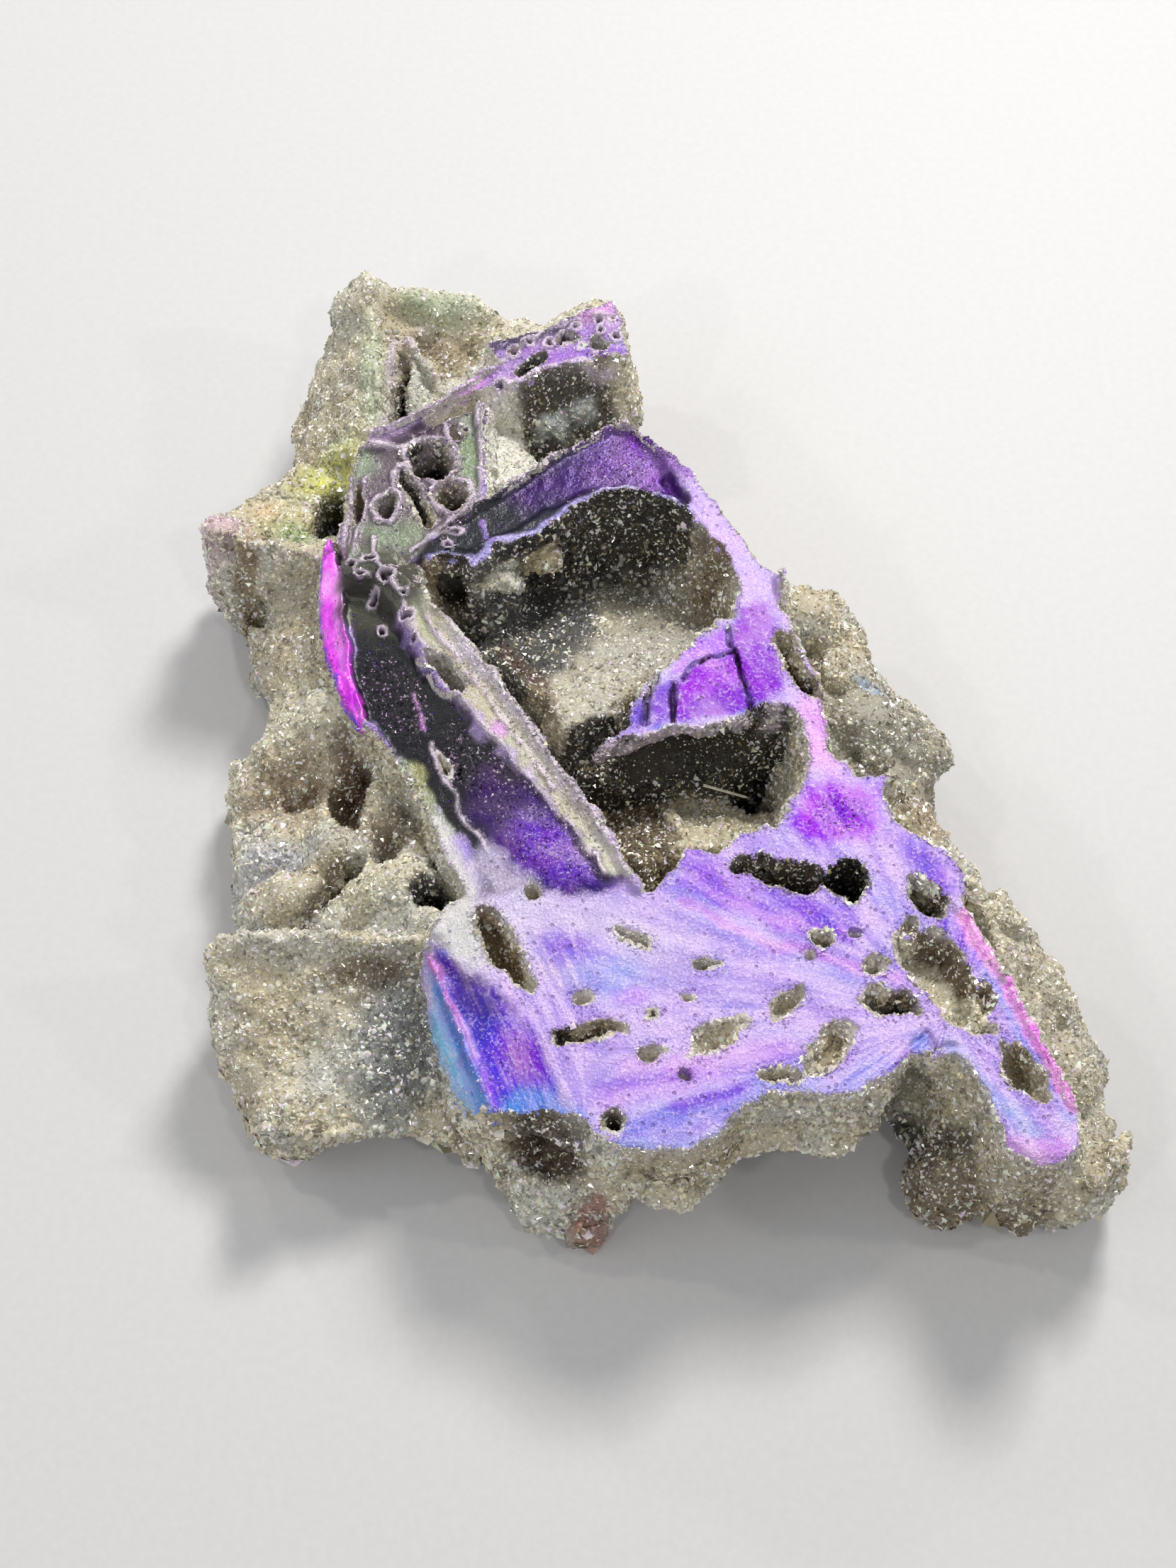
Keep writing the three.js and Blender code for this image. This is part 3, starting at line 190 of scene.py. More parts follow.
# Pits, slots and cells sunk into the top. No film lines them.
HOLLOWS = {
    "black_cell": oval(-30.8, 46.4, 3.4, 2.7, -25, depth=14),
    "round_cell": oval(-27.6, 40.4, 2.4, 2.4, 20, depth=7),
    "long_cell": oval(-33.4, 41.6, 3.4, 1.3, -62, depth=5),
    "left_cell": oval(-36.6, 38.8, 2.0, 1.4, 75, depth=6),
    "low_cell": oval(-31.2, 37.8, 2.6, 1.0, -70, depth=3.5),
    "slit_cell": oval(-40.3, 39.9, 3.0, 0.75, 86, depth=6),
    "corner_cell": oval(-27.4, 50.6, 1.1, 0.8, -55, depth=2.5),
    "band_slot": oval(-17.5, 62.2, 3.3, 0.95, 38, depth=7),
    "band_bubble_0": oval(-19.7, 64.3, 1.5, 0.8, 45, depth=4),
    "band_bubble_1": oval(-12.5, 66.5, 2.0, 1.0, 15, depth=4),
    "band_bubble_2": oval(-8.2, 65.4, 1.4, 1.2, depth=4),
    "wedge_slit": oval(-35.6, 60.0, 5.6, 1.0, 86, depth=8),
    "side_hole": oval(-45, 41.6, 4.4, 2.0, 80, depth=10),
    "crest_slot": oval(-27.6, 12, 4.2, 1.2, -50, depth=6),
    "bank_hollow": oval(-26.6, 25.8, 3.5, 2.8, -15, depth=6),
    "bar_slot": oval(-27.4, -0.6, 2.4, 0.6, -66, depth=3),
    "long_pit": oval(-20, -25.8, 5.9, 1.7, -60, depth=5),
    "small_pit_0": oval(-16.2, -18.7, 1.3, 1.1, depth=3),
    "small_pit_1": oval(-10, -32.4, 1.3, 0.9, 20, depth=1.8),
    "small_pit_2": oval(-2, -34.6, 0.9, 0.9, depth=1.8),
    "small_pit_3": oval(-1.5, -39.4, 1.7, 0.8, 15, depth=1.6),
    "small_pit_4": oval(1.7, -42.3, 0.8, 0.8, depth=1.6),
    "small_pit_5": oval(2.4, -32.5, 1.1, 0.7, -20, depth=1.5),
    "small_pit_6": oval(17.0, -27.4, 0.7, 0.7, depth=1.6),
    "small_pit_7": oval(22.6, -24.4, 0.8, 0.7, depth=1.6),
    "seam_pit": oval(-9, -36.9, 4.8, 1.3, 14, depth=4),
    "slit_pit_0": oval(-3.9, -24.8, 2.6, 0.9, -25, depth=3),
    "slit_pit_1": oval(5, -28, 1.9, 0.8, -5, depth=2.5),
    "oval_pit_0": oval(5.8, -37.2, 4.3, 1.8, 28, depth=2.6),
    "oval_pit_1": oval(14.2, -33.2, 2.7, 1.5, 35, depth=2.6),
    "round_pit_0": oval(18.3, -25, 1.7, 1.2, 10, depth=3),
    "round_pit_1": oval(24.8, -28.8, 1.5, 1.4, depth=2.5),
    "notch_pit": oval(26.3, -33.4, 3.5, 1.5, -12, depth=6),
    "forked_pit": oval(19, -38.7, 3.8, 2.1, 50, depth=3),
    "front_pit": oval(-6.7, -48, 1.7, 1.3, 60, depth=6),
    "rim_pit": oval(12.7, -42.3, 2.2, 1.2, -10, depth=3),
    "dark_slot": oval(14.5, -16.4, 6.2, 1.7, -10, depth=10),
    "dark_hole": oval(22.2, -17.2, 2.9, 2.6, 60, depth=17),
    "round_vug": oval(31.5, -19.6, 2.9, 2.0, -55, depth=8),
    "long_vug": oval(33.2, -30.0, 7.8, 3.3, -55, depth=4.6),
    "spur_vug": oval(41.2, -41.8, 4.6, 1.8, -60, depth=4.5),
    "rim_slot": oval(17.1, 13.4, 5.4, 1.4, -66, depth=7),
    "floor_hole": oval(12.3, 2.0, 2.9, 1.5, -14, depth=7),
    "shelf_cut": oval(14.0, 5.2, 2.4, 1.3, 40, depth=9),
    "flank_hollow_0": oval(-40, -1, 6.0, 2.6, 80, depth=5.5),
    "flank_hollow_1": oval(-47, 0.5, 3.4, 2.4, 20, depth=3.5),
    "flank_hollow_2": oval(-34.5, -8.5, 2.8, 2.2, 60, depth=4),
    "flank_hollow_3": oval(-41, -12.5, 4.6, 1.6, 55, depth=4.5),
    "flank_hole": oval(-29.2, -17.6, 2.4, 1.6, -35, depth=8),
    "ledge_groove": oval(-55.5, 31, 4.8, 1.6, -55, depth=4),
}

# Low swellings of the top.
LUMPS = {
    "far_corner": oval(-42.5, 77, 4.5, 4, height=3.2),
    "far_edge": oval(-30, 75, 9, 2.6, -10, height=2.5),
    "far_tip": oval(-8, 73, 4.5, 3.2, 20, height=1.2),
    "spine": oval(-37.9, 59.6, 10.5, 1.2, 86, height=2.6),
    "spine_branch": oval(-33, 66.8, 4.6, 1.0, -54, height=2.6),
    "ledge_rim": oval(-52.5, 34.2, 9.5, 2.0, -8, height=2.6),
    "ledge_tip": oval(-59, 38, 3.4, 3.0, height=2.0),
    "flank_lump_0": oval(-47, 9, 7.5, 5.0, 25, height=4.6),
    "flank_lump_1": oval(-54, 4.5, 4.2, 4.0, height=2.6),
    "flank_lump_2": oval(-51, -5.5, 4.6, 3.6, 30, height=3.0),
    "flank_lump_3": oval(-43.5, -7, 3.6, 4.6, height=3.2),
    "flank_lump_4": oval(-48, -13.5, 5.2, 3.6, 20, height=3.6),
    "flank_lump_5": oval(-35, -15, 5.0, 3.4, 10, height=2.8),
    "block_ridge": oval(-42, -22.5, 15, 2.4, 1, height=2.2),
    "knob": oval(19.8, 25, 5.2, 4.4, -20, height=4.8),
    "shoulder_lump": oval(28.5, 9.5, 6.6, 5.2, -15, height=4.4),
    "shoulder_toe": oval(31.5, 1.5, 3.4, 3.6, height=2.2),
    "shoulder_back": oval(24.5, 17, 3.6, 3.4, -30, height=2.0),
    "flank_right_0": oval(44, -20, 3.6, 3.0, height=2.4),
    "flank_right_1": oval(49, -28, 3.2, 4.6, height=2.2),
    "flank_right_2": oval(50.5, -38, 2.6, 4.2, height=2.0),
    "pit_bank": oval(3.5, -7.5, 5.5, 3.2, -5, height=1.4),
    "pit_spur": oval(1.2, -3.5, 5.5, 1.1, -75, height=2.0),
}

# Sharp crests along lines: half width at the two ends, and height.
CRESTS = {
    "long_crest": dict(line=[(-38, 29.5), (-33, 25), (-27.5, 19.2), (-22.5, 13), (-18.5, 7), (-14.8, 0.5),
        (-10.4, -6.5), (-7, -12), (-3.5, -18.5)], half=(2.6, 1.2), height=1.4),
    "boxwork_wall": dict(line=[(-24, 57), (-24, 50), (-23, 41.5)], half=(1.0, 1.0), height=1.0),
    "band_edge": dict(line=[(-39.5, 49.5), (-33, 53.5), (-27, 58), (-22, 61.5)], half=(0.9, 0.9),
        height=0.9),
    "bowl_rim": dict(line=[(-24.5, 31), (-20, 33.3), (-15, 36.8), (-10, 39.6), (-5, 40.6), (0, 39.8)],
        half=(0.9, 0.9), height=0.8),
    "fan_crest": dict(line=[(-29, -25.5), (-26.5, -31.5), (-24, -38), (-21.3, -45)], half=(1.0, 1.0),
        height=0.35),
    "spur_edge": dict(line=[(34.5, -20), (38.5, -27), (42.5, -36), (46.5, -45.5)], half=(1.0, 1.0),
        height=0.9),
}

# Where the underside comes down to the ground.
FEET = {
    "front_foot": oval(-13, -42, 8, 8.5, -10),
    "right_foot": oval(43, -41, 12, 10, 5),
    "left_foot": oval(-47, -33, 7, 9, 10),
    "flank_foot": oval(-48, 4, 9, 10),
    "far_foot": oval(-38, 62, 14, 15),
    "tip_foot": oval(-10, 66, 8, 9),
    "shoulder_foot": oval(26, 10, 10, 12),
}

# Where the underside rises under an edge, and how far.
ARCHES = {
    "front_arch": oval(11, -49, 22, 20, rise=13.5),
    "edge_arch": oval(3.5, -51, 10, 8, rise=6.5),
    "left_arch": oval(-31, -46, 14, 13, rise=5),
}

# Shafts that go down through the stone under the black holes: radius at the level faces and at the ground.
SHAFTS = {
    "black_cell_shaft": dict(at=(-31.3, 46.5), top=1.9, bottom=3.2),
    "side_hole_shaft": dict(at=(-45, 41.8), top=1.5, bottom=3.0),
    "dark_hole_shaft": dict(at=(22.2, -17.2), top=2.2, bottom=3.6),
    "floor_hole_shaft": dict(at=(12.3, 2.2), top=1.3, bottom=2.2),
    "flank_hole_shaft": dict(at=(-29.2, -17.6), top=1.3, bottom=2.6),
}

# Round bodies that stand out of the flanks and the vugs.
KNOBS = {
    "front_foot_knob": egg((-14, -49.6, 7.5), (5.6, 4.6, 9.3), -8),
    "front_toe": egg((-9.6, -52, 3.6), (2.6, 3.4, 4.6)),
    "front_heel": egg((-16.5, -45, 5), (4, 4, 6)),
    "spur_toe": egg((36, -48, 6), (6.5, 5, 8.5), 20),
    "corner_toe": egg((49, -48, 8), (6.5, 6, 9)),
    "block_corner": egg((-46.5, -40.5, 8), (5, 4.5, 7), 20),
    "bowl_lobe": egg((-21.6, 29.8, 22.4), (3.2, 2.0, 1.6), -20),
    "bowl_boss": egg((-15.6, 32.8, 22.2), (2.3, 1.4, 1.3), 30),
    "pocket_bump_0": egg((-14.4, 57.9, 19.4), (2.1, 1.6, 1.5), 30),
    "pocket_bump_1": egg((-10.4, 60.5, 19.8), (1.7, 1.3, 1.3)),
}

# Round bodies cut out under the ledges.
CAVES = {
    "shelf_cave": egg((3, 3.6, 20.4), (10.8, 4.4, 5.4), 8),
    "crest_cave": egg((-12.5, -3.5, 18), (7, 3, 4), -55),
    "spur_cave": egg((34.5, -48.5, 18), (3.2, 3.4, 3.2)),
    "notch_cave": egg((29.4, -43, 15.5), (3.6, 5.0, 8.5)),
    "bank_cave": egg((-27.6, 30.8, 20), (3.3, 3.2, 4.2)),
    "front_cave": egg((-14.8, -48, 16), (4.6, 4.2, 3.4), -30),
}

# Thin raised ribs between the cells of the boxwork and round its holes.
RIBS = {
    "cell_wall_0": course([(-39.5, 48.4), (-36.5, 48.6), (-34.4, 48.4), (-34.2, 46.4), (-32.6, 44.2),
        (-30.6, 42.6)], 0.29, 0.77),
    "cell_wall_1": course([(-34.4, 48.4), (-31.6, 49.9), (-28.4, 49.7), (-27, 47.2), (-27.4, 44.9),
        (-30.6, 42.6)], 0.29, 0.77),
    "cell_wall_2": course([(-27.4, 44.9), (-28.4, 43.4), (-30.4, 42), (-30.4, 39.2), (-28.4, 37.4),
        (-26, 37.8), (-24.8, 40.2), (-25.4, 42.6), (-28.4, 43.4)], 0.29, 0.77),
    "cell_wall_3": course([(-36, 42), (-35.8, 44.8), (-34.2, 45.2), (-33, 43.4), (-31.8, 41),
        (-31.2, 38)], 0.27, 0.68),
    "ring_wall": course([(-38, 40.6), (-38.8, 38.6), (-38, 36.6), (-36, 36.2), (-34.6, 37.8),
        (-34.9, 40.4), (-36.4, 41.4), (-38, 40.6)], 0.27, 0.68),
    "slit_wall": course([(-42, 44), (-41.4, 40), (-41.8, 35), (-42.5, 31)], 0.34, 0.59),
    "slit_wall_1": course([(-39.8, 43.5), (-39.6, 39), (-40.2, 34), (-41.2, 30)], 0.24, 0.42),
    "net_wall": course([(-38, 33.5), (-37.6, 30), (-36.8, 27.6), (-34.6, 25), (-33.4, 22), (-31.6, 18.5)],
        0.24, 0.42),
    "far_rib": course([(-29.5, 53), (-28.5, 49.5), (-27, 46)], 0.24, 0.42),
    "pocket_wall": course([(-24.2, 57), (-24.4, 48), (-23.8, 40.5)], 0.34, 0.77),
    "spine_wall": course([(-37.2, 69), (-37.2, 62), (-37, 56.5), (-39, 50.2)], 0.37, 1.02),
    "branch_wall": course([(-36.6, 70), (-34, 67.6), (-30.9, 63.8)], 0.34, 0.77),
    "band_wall": course([(-39.4, 48.9), (-34.6, 51.9), (-29.7, 55), (-25, 58.8), (-21.2, 63),
        (-16, 67.4)], 0.27, 0.77),
    "band_wall_1": course([(-23, 57), (-20, 58.2), (-17, 60.6), (-14, 62), (-10, 62.8), (-5.5, 62.4)],
        0.34, 0.51),
    "bar_rib": course([(-29.3, 3), (-28.2, -1), (-26, -5), (-24.5, -9), (-22, -13)], 0.2, 0.24),
    "bar_edge": course([(-33.5, 21), (-31, 17), (-29.5, 13), (-26, 8.6), (-22, 3.5), (-17, -3),
        (-12, -9.5), (-7.5, -16)], 0.22, 0.42),
    "crest_rib": course([(-30.6, 20), (-26.5, 14.5), (-22.5, 8), (-18, 1.5), (-13.5, -5)], 0.24, 0.42),
    "crest_fringe": course([(-29, 22.6), (-24, 16.4), (-19, 8.8), (-14, 0.8), (-9.6, -6.4), (-6, -12)],
        0.24, 0.42),
    "lens_rib": course([(-28.6, 34.2), (-27.2, 34.9), (-25.8, 34.5), (-27.2, 33.7), (-28.6, 34.2)], 0.2,
        0.26),
    "bar_lip": course([(-33, 32), (-30, 34.3), (-26, 38.2), (-20, 41.8), (-16, 44.8), (-12, 48.5),
        (-7, 51.3), (-2, 50.8)], 0.27, 0.42),
    "shelf_lip": course([(-14, 2.4), (-10, 1.4), (-6, 2.2), (0, 3.5), (5, 3.9), (9, 5), (12, 6.2),
        (15.5, 7.6)], 0.34, 0.34),
}

# Rings of thin wall round small cells: centre and radius.
RINGS = (
    (-38.4, 30.0, 0.9), (-34.9, 28.5, 0.75), (-35.9, 26.3, 0.9), (-39.2, 27.2, 0.85), (-40.7, 29.4, 0.7),
    (-37.4, 24.2, 0.7), (-32.9, 20.3, 0.75), (-36.2, 19.6, 0.7), (-33.6, 23.6, 0.6), (-31.8, 17.0, 0.6),
    (-34.9, 44.2, 0.75), (-28.0, 31.9, 0.6), (-26.4, 51.6, 0.5), (-23.5, 54.8, 0.5), (-19.7, 64.3, 0.9),
    (-17.8, 66.2, 0.6), (-15.2, 65.6, 0.7), (-12.7, 66.8, 1.0), (-10.6, 65.2, 0.6), (-8.2, 65.2, 1.25),
    (-7.6, 67.7, 0.6), (-8.1, 69.4, 0.7), (-6.0, 69.9, 0.5), (-5.4, 66.4, 0.6), (-11.2, 68.4, 0.6),
    (-21.6, 58.4, 0.7),
)

# Cracks through the film of the shelf and the spur.
CRACKS = {
    "shelf_long": course([(8.6, 18.8), (9.2, 15.5), (10.0, 12), (11.0, 8.5), (11.4, 6.4)], 0.27, 1.2),
    "shelf_bent": course([(2.4, 11.2), (3.8, 12.9), (6, 14.3), (8.9, 14.9)], 0.25, 1.0),
    "shelf_left": course([(1.4, 10.6), (1.2, 7.5), (1.3, 4.2)], 0.25, 1.0),
    "shelf_rift": course([(-0.6, 11.6), (-1.6, 8.6), (-2.6, 5)], 0.4, 1.4),
    "shelf_rift_1": course([(-4.2, 7.2), (-5, 5.2), (-6.2, 3.8)], 0.5, 1.0),
    "spur_0": course([(28.6, -38.8), (30.2, -37.2), (31.2, -39)], 0.25, 0.7),
    "spur_1": course([(29.4, -40.2), (31.3, -39.2), (33.5, -38.6)], 0.25, 0.7),
    "bar_crack": course([(1.2, 42.4), (2.4, 40.6), (3.6, 38.4)], 0.55, 1.6),
}

# Colours in sRGB, from 0 to 255.
LILAC = (184, 160, 226)
PALE = (208, 198, 226)
VIOLET = (144, 100, 216)
PURPLE = (108, 52, 178)
VIVID = (160, 92, 224)
MAGENTA = (250, 130, 255)
PINK = (214, 146, 226)
BLUE = (136, 144, 228)
SKY = (122, 178, 226)
# The next two: near-black of the film where it reflects no light, a painted dark reflection.
DARK_REFLECTION = (20, 19, 28)
DIM_REFLECTION = (30, 32, 42)
PLUM = (64, 30, 104)
MAUVE = (100, 90, 98)
SAGE = (130, 150, 118)
OLIVE = (150, 152, 112)
SAND = (214, 206, 182)
UMBER = (98, 80, 58)
TAN = (176, 160, 128)
MIST = (204, 208, 206)
RIM = (218, 204, 220)
CHALK = (228, 224, 208)
# Of painted shade in the hollows and between the points, and of the rock's dark dust.
DUST_AND_SHADE = (42, 36, 30)
# Of painted shade in the blackest holes.
HOLE_SHADE = (12, 10, 10)
SILVER = (206, 204, 202)
DIM = (52, 42, 62)  # in the cells inside the rings
FROST = (214, 208, 210)  # of the rock beside the film
AMBER = (222, 206, 150)  # of the warmer points
GRAIN = (222, 190, 230)  # that the film's grains are lightened towards
FLECK = (224, 206, 236)  # of the net of pale flecks in the film
DIMPLE = (96, 58, 150)  # of its small dark pits
FRINGE = (212, 204, 220)  # of its thin edges
CLEAR = (240, 238, 230)  # of the large clear points

# Of the painted glints, pale facets that stand for light caught: warm white, cool white, and faintly pink
# and green.
PAINTED_GLINT_TONES = ((248, 242, 222), (238, 240, 240), (240, 222, 238), (228, 240, 216))

# The smooth, glassy lumps of the rock: place, half widths, turn, and the heights between which they lie.
GLASSY = (
    ((27.5, 11), (3.6, 2.4), -25, 4, 34),
    ((33, 2), (3.4, 4.6), 10, 4, 34),
    ((-9.2, -54.6), (2.6, 2.2), 0, -2, 7),
    ((21.5, 26), (2.4, 2.2), 0, 4, 34),
)

# Where the film coats a rough druse: place, half widths and turn.
DRUSY = (
    ((-14, -11), (9.5, 6), -48), ((-5, 46), (9, 4.6), 25), ((-22, -2), (9, 4), -52),
    ((22, -8), (4, 3), 0), ((-34.5, 10), (8, 4), -60), ((-17, 2.5), (22, 2.2), -55),
)
BLADE_OVAL = ((-42, 20), (5, 15), 12)  # place, half widths and turn of the smooth blade
NEEDLE_RADIUS = 0.2
NEEDLE = ((5.6, 1.6, 16.6), (11.8, 1.4, 13.4))  # the ends of the one needle, over the lower pit's floor


def zone(colour, outline, soft=1.2, share=1.0):
    """Paint inside an outline."""
    return dict(colour=colour, kind="zone", points=outline, soft=soft, share=share)


def stripe(colour, line, half, soft=0.8, share=1.0):
    """Paint along a line."""
    return dict(colour=colour, kind="stripe", points=line, half=half, soft=soft, share=share)


def patch(colour, at, half, turn=0, soft=0.5, share=1.0, heights=(-10, 40)):
    """An oval of paint, from one height to another."""
    paint = dict(colour=colour, kind="patch", soft=soft, share=share)
    return dict(**paint, at=at, half=half, turn=turn, heights=heights)


